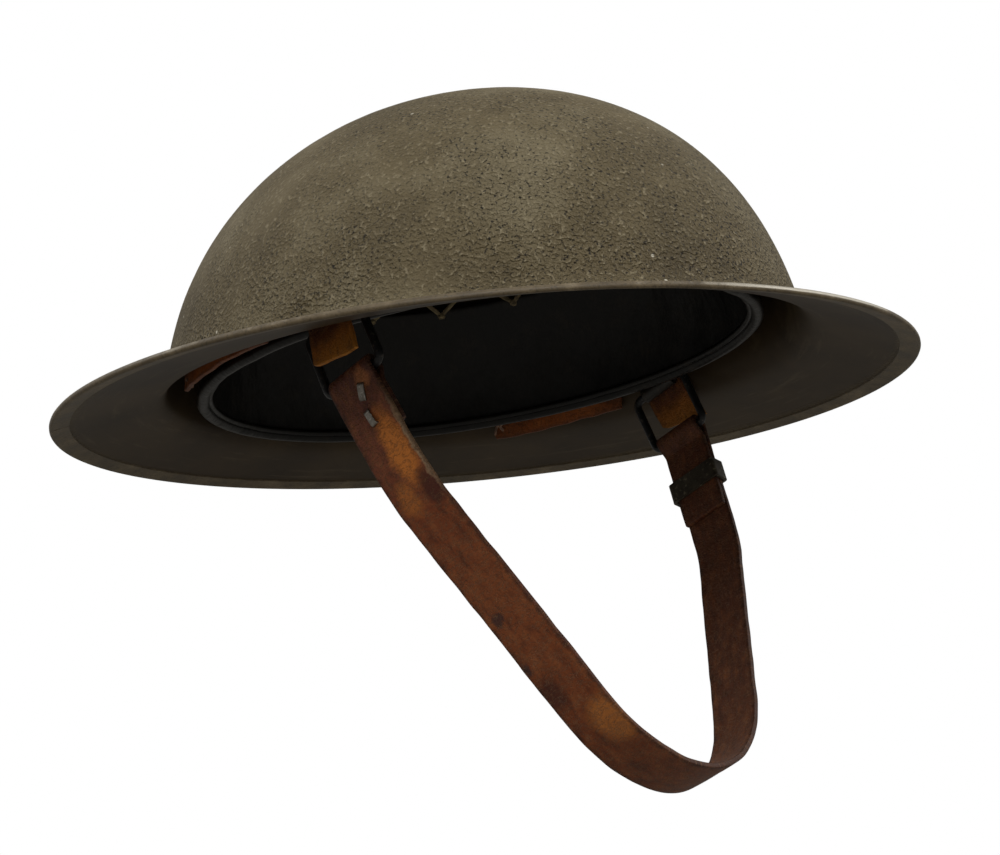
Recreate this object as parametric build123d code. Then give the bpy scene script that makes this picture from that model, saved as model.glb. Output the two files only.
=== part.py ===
from build123d import *
import math
import os

# A pressed steel helmet of 1917 pattern: a wide brim, a bound edge, a lining on rubber
# cushions and a leather chin strap on two wire bails. Millimetres, +Z up, the wearer
# looks along -Y, and the origin is on the axis of the bowl, level with the brim.

# Shell, one pressing of sheet steel
BRIM_HALF_LENGTH = 154.5
BRIM_HALF_WIDTH = 147.5
BRIM_TILT = 2.33
BRIM_SLOPE = 15.0
BRIM_EDGE_Z = -1.0
BEND_RADIUS = 9.0
BEND_TOP_Z = 16.0
BOWL_HALF_LENGTH = 122.2
BOWL_HALF_WIDTH = 103.4
BOWL_BASE_Z = -12.2
BOWL_HEIGHT = 119.3
BOWL_CENTRE_Y = 1.3
BOWL_PLAN_POWER = 2.206
BOWL_HEIGHT_POWER = 2.215
SHELL_WALL = 1.0
OVERRUN = 4.0

# Rim, a folded steel strip round the brim with one butt joint at the right rear
RIM_WALL = 0.45
RIM_BEAD_RADIUS = 1.25
RIM_LEG = 6.0
RIM_SLACK = 0.3
RIM_BUTT_ANGLE = 138.0
RIM_BUTT_GAP = 0.5

# Lining: oilcloth headband, twine net and drawstring on one smooth form inside the bowl
LINING_SIDE_GAP = 10.5
LINING_TOP_GAP = 13.0
LINING_THICKNESS = 1.6
HEADBAND_LOW_Z = 13.0
HEADBAND_TOP_Z = 57.0
HEM_RADIUS = 2.4
NET_TOP_Z = 91.0
NET_RINGS = 5
NET_MESHES = 18
NET_STRAND = 1.8
DRAWSTRING_RADIUS = 1.3

# Cradle tapes, felt pad and rivet at the crown
TAPE_WIDTH = 12.0
TAPE_THICKNESS = 1.2
TAPE_GAP = 0.5
TAPE_LOW_Z = 44.0
PAD_RADIUS = 30.0
PAD_THICKNESS = 7.5
CROWN_HEAD_RADIUS = 8.0
CROWN_HEAD_HEIGHT = 1.8
CROWN_SHANK_RADIUS = 2.4
CROWN_WASHER_RADIUS = 10.0
CROWN_WASHER_THICKNESS = 1.2
CROWN_CLENCH_RADIUS = 4.5
CROWN_CLENCH_HEIGHT = 1.6
CROWN_WASHER_GAP = 0.1

# Rubber cushions between the headband and the shell
CUSHION_COUNT = 12
CUSHION_LENGTH = 15.0
CUSHION_BORE_RADIUS = 2.6
CUSHION_MID_Z = 43.0
CUSHION_GAP = 0.4
SEAT_GAP = 0.3

# Rear leather, a short strap behind each hanger between the lining and the shell
REAR_STRAP_WIDTH = 18.0
REAR_STRAP_THICKNESS = 1.8
REAR_STRAP_LOW_Z = 10.0
REAR_STRAP_FRONT_Y = 8.0
REAR_STRAP_BACK_Y = 60.0

# Hangers: rivet, washer, leather tab, folded steel lug and wire bail, on each side
HANGER_TILT = 18.5
RIVET_Y = -11.5
RIVET_Z = 21.0
RIVET_SHANK_RADIUS = 2.0
RIVET_HEAD_RADIUS = 5.0
RIVET_HEAD_HEIGHT = 0.6
RIVET_HEAD_GAP = 0.12
RIVET_CLENCH_RADIUS = 3.6
RIVET_CLENCH_HEIGHT = 1.2
RUNNING_GAP = 0.08
WASHER_RADIUS = 4.6
HANGER_FACE_X = 96.8
TAB_THICKNESS = 1.4
TAB_WIDTH = 17.0
TAB_TOP_RADIUS = 6.0
TAB_SHOULDER = 5.0
TAB_DROP = 13.0
TAB_TURN = -8.5
TAB_SPLAY = 13.0
TAB_BEND_RADIUS = 8.0
LUG_WALL = 1.0
LUG_WIDTH = 14.0
LUG_TOP_RADIUS = 5.5
LUG_JOGGLE_RADIUS = 3.0
LUG_JOGGLE_ANGLE = 35.0
RIVET_TO_BAIL = 10.0
BAIL_WIRE_RADIUS = 1.5
BAIL_WIDTH = 24.0
BAIL_HEIGHT = 22.0
BAIL_CORNER_RADIUS = 3.0

# Chin strap, one leather strap folded over both bails
STRAP_WIDTH = 19.0
STRAP_THICKNESS = 2.0
STRAP_DROP = 142.0
STRAP_TOP_LEAN = 12.0
STRAP_LOW_LEAN = 29.7
STRAP_STRAIGHT = 27.0
STRAP_CHIN_RADIUS = 50.0
SLIDE_SIDE_LEAN = 15.0
SLIDE_SIDE_LOW_LEAN = 30.5
SLIDE_SIDE_STRAIGHT = 46.0
FOLD_CLEARANCE = 0.35
FOLD_LAYER_GAP = 0.2
FOLD_ANGLE = 40.0
FOLD_EASE_RADIUS = 3.0
STAPLED_TAIL = 20.0
SLIDE_TAIL = 31.0

# Staples and the steel slide
STAPLE_WIDTH = 2.2
STAPLE_THICKNESS = 0.6
STAPLE_BEND_RADIUS = 0.7
STAPLE_LENGTH = 5.4
STAPLE_FIRST = 7.6
STAPLE_PITCH = 8.6
SLIDE_WALL = 1.2
SLIDE_LENGTH = 8.0
SLIDE_GAP = 0.4
SLIDE_FROM_BAR = 22.0
SLIDE_CORNER_RADIUS = 1.5

# Heights of the sections of the bowl and of the brim, as shares
BOWL_HEIGHT_SHARES = (0.14, 0.3, 0.46, 0.62, 0.76, 0.87, 0.945, 0.985, 0.9992)
BOWL_TILT_SHARES = (0.3, 0.08, 0, 0, 0, 0, 0, 0, 0)
BODY_HEIGHT_SHARES = (0, 0.18, 0.36, 0.54, 0.7, 0.83, 0.92, 0.97, 1)
BODY_TOP_SHARE = 0.9985
BEND_ANGLE_SHARES = (1, 0.66, 0.33, 0)
BEND_TILT_SHARES = (1, 0.9, 0.78, 0.62)


os.makedirs("parts", exist_ok=True)


def save(shape, name):
    shape.label = name
    export_step(shape, f"parts/{name}.step")


def plan_share(z, top_inset):
    # How far the bowl has closed in at height z, 1 at its base and 0 at its top
    rise = (z - BOWL_BASE_Z) / (BOWL_HEIGHT - top_inset)
    return max(1 - rise ** BOWL_HEIGHT_POWER, 0) ** (1 / BOWL_PLAN_POWER)


def shell_top_z(inset):
    return BOWL_BASE_Z + BOWL_HEIGHT - inset


def half_axes(z, side_inset, top_inset):
    share = plan_share(z, top_inset)
    return (BOWL_HALF_WIDTH - side_inset) * share, (BOWL_HALF_LENGTH - side_inset) * share


def section(half_width, half_length, z, tilt_share=0):
    # One elliptical section, tilted with the brim by its share
    angle = math.radians(BRIM_TILT * tilt_share)
    origin = (0, BOWL_CENTRE_Y * (1 - tilt_share), z)
    plane = Plane(origin=origin, x_dir=(1, 0, 0), z_dir=(0, -math.sin(angle), math.cos(angle)))
    return plane * Ellipse(half_width, half_length)


def loft_sides(sections):
    # The curved faces only of a smooth loft
    return [face for face in loft(sections).faces() if face.geom_type != GeomType.PLANE]


def ring_face(outer, inner):
    return Face(outer.wire(), [inner.wire()])


def dome_sections(low_z, high_z, side_inset, top_inset):
    # Sections of the bowl's form, closer together towards its top
    sections = []
    for share in BODY_HEIGHT_SHARES:
        z = low_z + (high_z - low_z) * share
        sections.append(section(*half_axes(z, side_inset, top_inset), z))
    return sections


def bowl_body(side_inset, top_inset):
    # A solid dome that lies evenly inside the bowl
    top_z = BOWL_BASE_Z + (BOWL_HEIGHT - top_inset) * BODY_TOP_SHARE
    return loft(dome_sections(BOWL_BASE_Z, top_z, side_inset, top_inset))


def dome_band(low_z, high_z, side_inset, top_inset, thickness):
    # A thin ring of the bowl's form between two heights
    outer = dome_sections(low_z, high_z, side_inset, top_inset)
    inner = dome_sections(low_z, high_z, side_inset + thickness, top_inset + thickness)
    rims = [ring_face(outer[end], inner[end]) for end in (0, -1)]
    return Solid(Shell(loft_sides(outer) + loft_sides(inner) + rims))


def dome_skin(low_z, side_inset, top_inset, thickness):
    # A thin dome of the bowl's form, closed at its top and open below
    faces = []
    foot = []
    for inset in (0, thickness):
        top_z = BOWL_BASE_Z + (BOWL_HEIGHT - top_inset - inset) * BODY_TOP_SHARE
        sections = dome_sections(low_z, top_z, side_inset + inset, top_inset + inset)
        faces += loft_sides(sections) + [sections[-1].face()]
        foot.append(sections[0])
    return Solid(Shell(faces + [ring_face(*foot)]))


def shell_face_sections(inset):
    # Sections of one face of the shell, as brim, bend and bowl
    slope = math.radians(BRIM_SLOPE)
    wall_width, wall_length = half_axes(BEND_TOP_Z, 0, 0)
    bend_radius = BEND_RADIUS + inset
    bend = []
    for angle_share, tilt_share in zip(BEND_ANGLE_SHARES, BEND_TILT_SHARES):
        angle = angle_share * (math.pi / 2 - slope)
        reach = BEND_RADIUS - bend_radius * math.cos(angle)
        z = BEND_TOP_Z - bend_radius * math.sin(angle)
        bend.append(section(wall_width + reach, wall_length + reach, z, tilt_share))
    edge_z = BRIM_EDGE_Z - inset / math.cos(slope)
    brim = [section(BRIM_HALF_WIDTH, BRIM_HALF_LENGTH, edge_z, BEND_TILT_SHARES[0]), bend[0]]
    bowl = [bend[-1]]
    bowl_top_z = shell_top_z(inset)
    for height_share, tilt_share in zip(BOWL_HEIGHT_SHARES, BOWL_TILT_SHARES):
        z = BEND_TOP_Z + (bowl_top_z - BEND_TOP_Z) * height_share
        bowl.append(section(*half_axes(z, inset, inset), z, tilt_share))
    return brim, bend, bowl


def brim_plane(z):
    angle = math.radians(BRIM_TILT)
    return Plane(origin=(0, 0, z), x_dir=(1, 0, 0), z_dir=(0, -math.sin(angle), math.cos(angle)))


def upright_rod(radius, low_z, high_z):
    low = Plane(origin=(0, BOWL_CENTRE_Y, low_z))
    return extrude(low * Circle(radius), high_z - low_z)


# Directions of the hanger plane: across the helmet, up along the hanger, and forward
hanger_angle = math.radians(HANGER_TILT)
hanger_up = Vector(0, math.sin(hanger_angle), math.cos(hanger_angle))
hanger_forward = Vector(0, -math.cos(hanger_angle), math.sin(hanger_angle))
rivet_point = Vector(0, RIVET_Y, RIVET_Z)
hanger_plane = Plane(origin=rivet_point, x_dir=(1, 0, 0), z_dir=hanger_forward)


def hanger_point(x, up, forward=0):
    return Vector(x, 0, 0) + rivet_point + hanger_up * up + hanger_forward * forward


def side_plane(x, up):
    # A plane that looks outwards from the wearer's right, with forward to its right
    return Plane(origin=hanger_point(x, up), x_dir=hanger_forward, z_dir=(-1, 0, 0))


def across(radius, from_x, to_x, up=0):
    # A rod across the helmet on the rivet's line or parallel to it
    return extrude(side_plane(from_x, up) * Circle(radius), from_x - to_x)


def walk(start, heading, moves):
    # Stations of a route of straights and turns: each is a point and a heading
    stations = [(Vector(*start), heading)]
    for kind, size, angle in moves:
        point, heading = stations[-1]
        facing = Vector(math.cos(math.radians(heading)), math.sin(math.radians(heading)))
        if kind == "straight":
            stations.append((point + facing * size, heading))
            continue
        side = math.copysign(1, angle)
        centre = point + facing.rotate(Axis.Z, 90 * side) * size
        stations.append((centre + (point - centre).rotate(Axis.Z, angle), heading + angle))
    return stations


def ribbon(start, heading, moves, thickness):
    # A flat face of even thickness along a route of straights and turns
    stations = walk(start, heading, moves)
    sides = []
    for shift in (thickness / 2, -thickness / 2):
        edges = []
        for (kind, size, angle), here, there in zip(moves, stations, stations[1:]):
            ends = [point + Vector(0, shift).rotate(Axis.Z, turn) for point, turn in (here, there)]
            if kind == "straight":
                edges.append(Edge.make_line(*ends))
                continue
            side = math.copysign(1, angle)
            facing = Vector(1, 0).rotate(Axis.Z, here[1])
            centre = here[0] + facing.rotate(Axis.Z, 90 * side) * size
            middle = centre + (ends[0] - centre).rotate(Axis.Z, angle / 2)
            edges.append(Edge.make_three_point_arc(ends[0], middle, ends[1]))
        sides.append(edges)
    caps = [Edge.make_line(sides[0][index] @ share, sides[1][index] @ share)
            for index, share in ((0, 0), (-1, 1))]
    return Face(Wire(sides[0] + sides[1] + caps))


def hanger_strip(face, width):
    return extrude(hanger_plane * face, width / 2, both=True)


# Shell, closed between its two faces along the edge of the brim
shell_faces = []
brim_edges = []
for inset in (0, SHELL_WALL):
    brim, bend, bowl = shell_face_sections(inset)
    shell_faces += loft_sides(brim) + loft_sides(bend) + loft_sides(bowl) + [bowl[-1].face()]
    brim_edges.append(brim[0].edge())
shell_faces.append(Face.make_surface_from_curves(*brim_edges))
shell = Solid(Shell(shell_faces))
crown_hole = CROWN_SHANK_RADIUS + RUNNING_GAP
shell -= upright_rod(crown_hole, shell_top_z(2 * OVERRUN), shell_top_z(-OVERRUN))
for side in (-1, 1):
    shell -= across(RIVET_SHANK_RADIUS + RUNNING_GAP, side * (HANGER_FACE_X - OVERRUN),
                    side * (BOWL_HALF_WIDTH + OVERRUN))
save(shell, "shell")

# Rim: the strip is folded over the edge of the brim, round a small hollow bead
rim_tilt = math.radians(BRIM_TILT)
brim, bend, bowl = shell_face_sections(0)
brim_box = [brim[index].bounding_box() for index in (0, 1)]
brim_width = (brim_box[0].size.X - brim_box[1].size.X + brim_box[0].size.Y - brim_box[1].size.Y) / 4
brim_rise = brim_box[1].center().Z - brim_box[0].center().Z
rim_slope = math.degrees(math.atan2(brim_rise, brim_width))
print("rim slope", round(rim_slope, 2))
leg_inner = SHELL_WALL / 2 + RIM_SLACK
leg_outer = leg_inner + RIM_WALL
bead_inner = RIM_BEAD_RADIUS - RIM_WALL
rim_plane = Plane(origin=(BRIM_HALF_WIDTH, 0, BRIM_EDGE_Z - SHELL_WALL / 2),
                  x_dir=(1, 0, 0), z_dir=(0, -math.cos(rim_tilt), -math.sin(rim_tilt)))
with BuildLine() as rim_line:
    Polyline((-RIM_LEG, leg_inner), (-RIM_LEG, leg_outer), (0, RIM_BEAD_RADIUS))
    ThreePointArc((0, RIM_BEAD_RADIUS), (RIM_BEAD_RADIUS, 0), (0, -RIM_BEAD_RADIUS))
    Polyline((0, -RIM_BEAD_RADIUS), (-RIM_LEG, -leg_outer), (-RIM_LEG, -leg_inner), (0, -bead_inner))
    ThreePointArc((0, -bead_inner), (bead_inner, 0), (0, bead_inner))
    Line((0, bead_inner), (-RIM_LEG, leg_inner))
rim_profile = rim_plane * (Rot(0, 0, -rim_slope) * make_face(rim_line.line))
rim_path = brim_plane(BRIM_EDGE_Z - SHELL_WALL / 2) * Ellipse(BRIM_HALF_WIDTH, BRIM_HALF_LENGTH)
rim = sweep(rim_profile, path=rim_path.wire())
butt_angle = math.radians(RIM_BUTT_ANGLE)
butt = Plane(origin=(BRIM_HALF_WIDTH * math.cos(butt_angle), BRIM_HALF_LENGTH * math.sin(butt_angle), 0))
rim -= butt * Rot(0, 0, RIM_BUTT_ANGLE) * Box(4 * RIM_LEG, RIM_BUTT_GAP, 8 * RIM_LEG)
save(rim, "rim")

# Lining form, with the net and the headband on the same surface
lining_side = SHELL_WALL + LINING_SIDE_GAP
lining_top = SHELL_WALL + LINING_TOP_GAP
hem_width, hem_length = half_axes(HEADBAND_LOW_Z, lining_side, lining_top)
hem_ring = section(hem_width - HEM_RADIUS, hem_length - HEM_RADIUS, HEADBAND_LOW_Z)
hem_start = Plane(origin=(hem_width - HEM_RADIUS, BOWL_CENTRE_Y, HEADBAND_LOW_Z), z_dir=(0, 1, 0))
hem = sweep(hem_start * Circle(HEM_RADIUS), path=hem_ring.wire())
headband = dome_band(HEADBAND_LOW_Z, HEADBAND_TOP_Z, lining_side, lining_top, LINING_THICKNESS) + hem
save(headband, "headband")

# Net: one dome with rings of diamond meshes, each ring turned by half a mesh
net_foot = half_axes(HEADBAND_TOP_Z, lining_side, lining_top)
net_mouth = half_axes(NET_TOP_Z, lining_side, lining_top)
mesh_turn = 360 / NET_MESHES
net_holes = []
for ring in range(NET_RINGS):
    share = (ring + 1) / (NET_RINGS + 1)
    half_width = net_foot[0] + (net_mouth[0] - net_foot[0]) * share
    half_length = net_foot[1] + (net_mouth[1] - net_foot[1]) * share
    reach = (net_foot[0] - net_mouth[0]) / (NET_RINGS + 1) - NET_STRAND / 2
    spread = mesh_turn / 2 - math.degrees(NET_STRAND / 2 / half_width)
    for mesh in range(NET_MESHES):
        turn = (mesh + ring % 2 / 2) * mesh_turn
        corners = []
        for step, swing in ((-reach, 0), (0, -spread), (reach, 0), (0, spread)):
            angle = math.radians(turn + swing)
            corners.append(((half_width + step) * math.cos(angle),
                            (half_length + step) * math.sin(angle)))
        net_holes.append(Polygon(*corners, align=None))
net_base = Plane(origin=(0, BOWL_CENTRE_Y, HEADBAND_TOP_Z - OVERRUN))
net_cutter = extrude(net_base * Sketch(net_holes), BOWL_HEIGHT)
crown_net = dome_band(HEADBAND_TOP_Z, NET_TOP_Z, lining_side, lining_top, LINING_THICKNESS) - net_cutter
save(crown_net, "crown_net")

# Drawstring through the mouth of the net
string_width = net_mouth[0] - DRAWSTRING_RADIUS
string_length = net_mouth[1] - DRAWSTRING_RADIUS
string_z = NET_TOP_Z + DRAWSTRING_RADIUS
string_start = Plane(origin=(string_width, BOWL_CENTRE_Y, string_z), z_dir=(0, 1, 0))
drawstring = sweep(string_start * Circle(DRAWSTRING_RADIUS),
                   path=section(string_width, string_length, string_z).wire())
save(drawstring, "drawstring")

# Cradle tapes: two crossed tapes from the crown to the headband, in one sewn piece
tape_side = lining_side - TAPE_THICKNESS - TAPE_GAP / 2
tape_top = SHELL_WALL + PAD_THICKNESS + 2 * SEAT_GAP
tape_skin = dome_skin(TAPE_LOW_Z, tape_side, tape_top, TAPE_THICKNESS)
tape_reach = 2 * BOWL_HALF_LENGTH
tape_middle_z = (TAPE_LOW_Z + BOWL_HEIGHT) / 2
tape_rise = BOWL_HEIGHT - TAPE_LOW_Z
tape_cross = Box(tape_reach, TAPE_WIDTH, tape_rise) + Box(TAPE_WIDTH, tape_reach, tape_rise)
tapes = tape_skin & (Pos(0, BOWL_CENTRE_Y, tape_middle_z) * tape_cross)
tapes -= upright_rod(crown_hole, 0, BOWL_HEIGHT)
save(tapes, "cradle_tapes")

# Felt pad under the crown, its top shaped by the bowl
pad_low_z = shell_top_z(SHELL_WALL + PAD_THICKNESS)
pad = upright_rod(PAD_RADIUS, pad_low_z, BOWL_HEIGHT)
pad &= bowl_body(SHELL_WALL + SEAT_GAP, SHELL_WALL + SEAT_GAP)
pad -= upright_rod(crown_hole, 0, BOWL_HEIGHT)
save(pad, "crown_pad")

# Crown rivet and washer: low domed head outside, clenched over the washer inside
washer_high_z = shell_top_z(tape_top + TAPE_THICKNESS)
washer_low_z = washer_high_z - CROWN_WASHER_THICKNESS
tape_face = tape_top + TAPE_THICKNESS + CROWN_WASHER_GAP
washer = upright_rod(CROWN_WASHER_RADIUS, washer_low_z, washer_high_z)
washer &= bowl_body(tape_side + TAPE_THICKNESS, tape_face)
washer -= upright_rod(crown_hole, washer_low_z - OVERRUN, washer_high_z + OVERRUN)
save(washer, "crown_washer")
head_rise = CROWN_HEAD_HEIGHT
head_ball = (CROWN_HEAD_RADIUS ** 2 + head_rise ** 2) / (2 * head_rise)
head_z = shell_top_z(0)
crown_rivet = upright_rod(CROWN_HEAD_RADIUS, head_z, head_z + head_rise)
crown_rivet &= Pos(0, BOWL_CENTRE_Y, head_z + head_rise - head_ball) * Sphere(head_ball)
crown_rivet += upright_rod(CROWN_HEAD_RADIUS, head_z - SHELL_WALL / 2, head_z)
crown_rivet -= shell
crown_rivet += upright_rod(CROWN_SHANK_RADIUS, washer_low_z - CROWN_CLENCH_HEIGHT, head_z)
clench = upright_rod(CROWN_CLENCH_RADIUS, washer_low_z - CROWN_CLENCH_HEIGHT, washer_low_z)
crown_rivet += fillet(clench.edges().group_by(Axis.Z)[0], CROWN_CLENCH_HEIGHT / 2)
save(crown_rivet, "crown_rivet")

# Rubber cushions: short tubes that stand between the headband and the shell
cushions = []
for index in range(CUSHION_COUNT):
    angle = math.radians((index + 0.5) * 360 / CUSHION_COUNT)
    spots = []
    for rise in (-CUSHION_LENGTH / 2, 0, CUSHION_LENGTH / 2):
        z = CUSHION_MID_Z + rise
        wall = half_axes(z, SHELL_WALL, SHELL_WALL)
        band = half_axes(z, lining_side, lining_top)
        spots.append([Vector(half_width * math.cos(angle),
                             BOWL_CENTRE_Y + half_length * math.sin(angle), z)
                      for half_width, half_length in (wall, band)])
    low, middle, high = [(wall + band) / 2 for wall, band in spots]
    outward = Vector(math.cos(angle) / BOWL_HALF_WIDTH, math.sin(angle) / BOWL_HALF_LENGTH).normalized()
    axis = (high - low).normalized()
    square = (outward - axis * outward.dot(axis)).normalized()
    radius = abs((spots[1][0] - spots[1][1]).dot(square)) / 2 - CUSHION_GAP
    seat = Plane(origin=middle - axis * (CUSHION_LENGTH / 2), z_dir=axis)
    cushions.append(extrude(seat * (Circle(radius) - Circle(CUSHION_BORE_RADIUS)), CUSHION_LENGTH))
save(Compound(children=cushions), "rubber_cushions")

# Rear leather, two short straps flat against the shell, each with square cut ends
strap_inset = SHELL_WALL + SEAT_GAP
rear_strap_top = REAR_STRAP_LOW_Z + REAR_STRAP_WIDTH
rear_strap = dome_band(REAR_STRAP_LOW_Z, rear_strap_top, strap_inset, strap_inset, REAR_STRAP_THICKNESS)
rear_run = REAR_STRAP_BACK_Y - REAR_STRAP_FRONT_Y
rear_block = Box(2 * BRIM_HALF_WIDTH, rear_run, BOWL_HEIGHT)
rear_pieces = rear_strap & (Pos(0, REAR_STRAP_FRONT_Y + rear_run / 2, rear_strap_top) * rear_block)
save(Compound(children=rear_pieces.solids()), "rear_strap")

# Stations across the hanger, from the shell inwards
tab_outer_x = HANGER_FACE_X - RUNNING_GAP
tab_inner_x = tab_outer_x - TAB_THICKNESS
lug_outer_x = tab_inner_x - RUNNING_GAP
lug_inner_x = lug_outer_x - LUG_WALL
lug_bend = BAIL_WIRE_RADIUS + RUNNING_GAP + LUG_WALL / 2
bail_x = lug_outer_x - LUG_WALL / 2 - lug_bend
clench_x = lug_inner_x - RUNNING_GAP - LUG_WALL - RUNNING_GAP


def make_washer():
    # A packing washer with its outer face shaped by the bowl and its inner face flat
    washer = across(WASHER_RADIUS, -HANGER_FACE_X, -BOWL_HALF_WIDTH)
    washer &= bowl_body(SHELL_WALL, SHELL_WALL)
    return washer - across(RIVET_SHANK_RADIUS + RUNNING_GAP, 0, -BOWL_HALF_WIDTH)


def make_rivet():
    # A flat head that follows the wall, a shank, and a clenched end inside the lug
    head = across(RIVET_HEAD_RADIUS, -HANGER_FACE_X, -BOWL_HALF_WIDTH - OVERRUN)
    head &= bowl_body(-RIVET_HEAD_HEIGHT, -RIVET_HEAD_HEIGHT) - bowl_body(-RIVET_HEAD_GAP, -RIVET_HEAD_GAP)
    shank = across(RIVET_SHANK_RADIUS, -clench_x, -BOWL_HALF_WIDTH)
    shank &= bowl_body(-RIVET_HEAD_HEIGHT / 2, -RIVET_HEAD_HEIGHT / 2)
    clench = across(RIVET_CLENCH_RADIUS, -clench_x + RIVET_CLENCH_HEIGHT, -clench_x)
    return head + shank + clench


def make_tab():
    # A leather tongue behind the lug, turned back on the rivet, that stands outwards below the bail's bar
    foot = RIVET_TO_BAIL + TAB_DROP
    with BuildSketch() as plan:
        Circle(TAB_TOP_RADIUS)
        with Locations((0, -(foot + TAB_SHOULDER) / 2)):
            RectangleRounded(TAB_WIDTH, foot - TAB_SHOULDER, TAB_TOP_RADIUS / 3)
        Circle(RIVET_SHANK_RADIUS + RUNNING_GAP, mode=Mode.SUBTRACT)
    plan_block = extrude(side_plane(0, 0) * Rot(0, 0, TAB_TURN) * plan.sketch, BRIM_HALF_WIDTH)
    moves = (("straight", TAB_TOP_RADIUS + RIVET_TO_BAIL, 0), ("turn", TAB_BEND_RADIUS, -TAB_SPLAY),
             ("straight", foot, 0))
    strip = ribbon((-tab_inner_x - TAB_THICKNESS / 2, TAB_TOP_RADIUS), -90, moves, TAB_THICKNESS)
    return hanger_strip(strip, 2 * TAB_WIDTH) & plan_block


def make_lug():
    # A steel strip folded round the bail, its two ends together under the rivet
    angle = math.radians(LUG_JOGGLE_ANGLE)
    shift = 2 * lug_bend - LUG_WALL - RUNNING_GAP
    slant = (shift - 2 * LUG_JOGGLE_RADIUS * (1 - math.cos(angle))) / math.sin(angle)
    climb = 2 * LUG_JOGGLE_RADIUS * math.sin(angle) + slant * math.cos(angle)
    outer_run = LUG_TOP_RADIUS + RIVET_TO_BAIL
    moves = (("straight", outer_run, 0), ("turn", lug_bend, 180),
             ("turn", LUG_JOGGLE_RADIUS, LUG_JOGGLE_ANGLE), ("straight", slant, 0),
             ("turn", LUG_JOGGLE_RADIUS, -LUG_JOGGLE_ANGLE), ("straight", outer_run - climb, 0))
    strip = ribbon((-lug_outer_x + LUG_WALL / 2, LUG_TOP_RADIUS), -90, moves, LUG_WALL)
    reach = RIVET_TO_BAIL + lug_bend + LUG_WALL
    with BuildSketch() as plan:
        Circle(LUG_TOP_RADIUS)
        with Locations((0, -(reach + LUG_TOP_RADIUS) / 2)):
            Rectangle(LUG_WIDTH, reach - LUG_TOP_RADIUS)
        make_hull()
        Circle(RIVET_SHANK_RADIUS + RUNNING_GAP, mode=Mode.SUBTRACT)
    plan_block = extrude(side_plane(0, 0) * plan.sketch, BOWL_HALF_WIDTH)
    return hanger_strip(strip, LUG_WIDTH) & plan_block


def make_bail():
    # A closed loop of steel wire with rounded corners
    plane = side_plane(-bail_x, -RIVET_TO_BAIL - BAIL_HEIGHT / 2)
    loop = (plane * RectangleRounded(BAIL_WIDTH, BAIL_HEIGHT, BAIL_CORNER_RADIUS)).wire()
    start = Plane(origin=loop @ 0, z_dir=loop % 0)
    return sweep(start * Circle(BAIL_WIRE_RADIUS), path=loop)


hanger_makers = {"hanger_washer": make_washer, "hanger_rivet": make_rivet, "hanger_tab": make_tab,
                 "lug": make_lug, "bail": make_bail}
for name, make in hanger_makers.items():
    piece = make()
    save(piece, f"right_{name}")
    save(mirror(piece, about=Plane.YZ), f"left_{name}")

# Chin strap: a route of straights and turns in the hanger plane
fold_radius = BAIL_WIRE_RADIUS + FOLD_CLEARANCE + STRAP_THICKNESS / 2
layer_pitch = STRAP_THICKNESS + FOLD_LAYER_GAP


def fold_moves(tail):
    # The end of the strap, from its tip up beside the strap and over the bail
    angle = math.radians(FOLD_ANGLE)
    shift = fold_radius * (1 + math.cos(angle)) - layer_pitch
    shift -= FOLD_EASE_RADIUS * (1 - math.cos(angle))
    return [("straight", tail, 0), ("turn", FOLD_EASE_RADIUS, -FOLD_ANGLE),
            ("straight", shift / math.sin(angle), 0), ("turn", fold_radius, 180 + FOLD_ANGLE)]


def leg_moves(top_lean, low_lean, straight):
    # One side of the loop, from the bail down to the middle of the chin
    top, low = math.radians(top_lean), math.radians(low_lean)
    start_x = bail_x + fold_radius * math.cos(top)
    start_drop = fold_radius * math.sin(top)
    across_left = start_x - straight * math.sin(top) - STRAP_CHIN_RADIUS * math.cos(low)
    drop_left = STRAP_DROP - start_drop - straight * math.cos(top)
    drop_left -= STRAP_CHIN_RADIUS * (1 - math.sin(low))
    turn_x, turn_y = math.cos(top) - math.cos(low), math.sin(low) - math.sin(top)
    divisor = turn_x * math.cos(low) - turn_y * math.sin(low)
    radius = (across_left * math.cos(low) - drop_left * math.sin(low)) / divisor
    run = (turn_x * drop_left - turn_y * across_left) / divisor
    return [("straight", straight, 0), ("turn", radius, low_lean - top_lean), ("straight", run, 0),
            ("turn", STRAP_CHIN_RADIUS, 90 - low_lean)]


right_fold = fold_moves(STAPLED_TAIL)
right_leg = leg_moves(STRAP_TOP_LEAN, STRAP_LOW_LEAN, STRAP_STRAIGHT)
left_leg = leg_moves(SLIDE_SIDE_LEAN, SLIDE_SIDE_LOW_LEAN, SLIDE_SIDE_STRAIGHT)
strap_moves = right_fold + right_leg + (fold_moves(SLIDE_TAIL) + left_leg)[::-1]
print("strap turn radii", [round(size, 1) for kind, size, angle in strap_moves if kind == "turn"])
print("strap straights", [round(size, 1) for kind, size, angle in strap_moves if kind == "straight"])
lean = math.radians(STRAP_TOP_LEAN)
bar_up = -RIVET_TO_BAIL - BAIL_HEIGHT
first_heading = 90 + STRAP_TOP_LEAN
leave_point = Vector(-bail_x - fold_radius * math.cos(lean), bar_up - fold_radius * math.sin(lean))
trial = walk((0, 0), first_heading, right_fold)[-1][0]
strap_stations = walk(leave_point - trial, first_heading, strap_moves)
strap_face = ribbon(leave_point - trial, first_heading, strap_moves, STRAP_THICKNESS)
chin_strap = hanger_strip(strap_face, STRAP_WIDTH)
save(chin_strap, "chin_strap")

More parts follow.
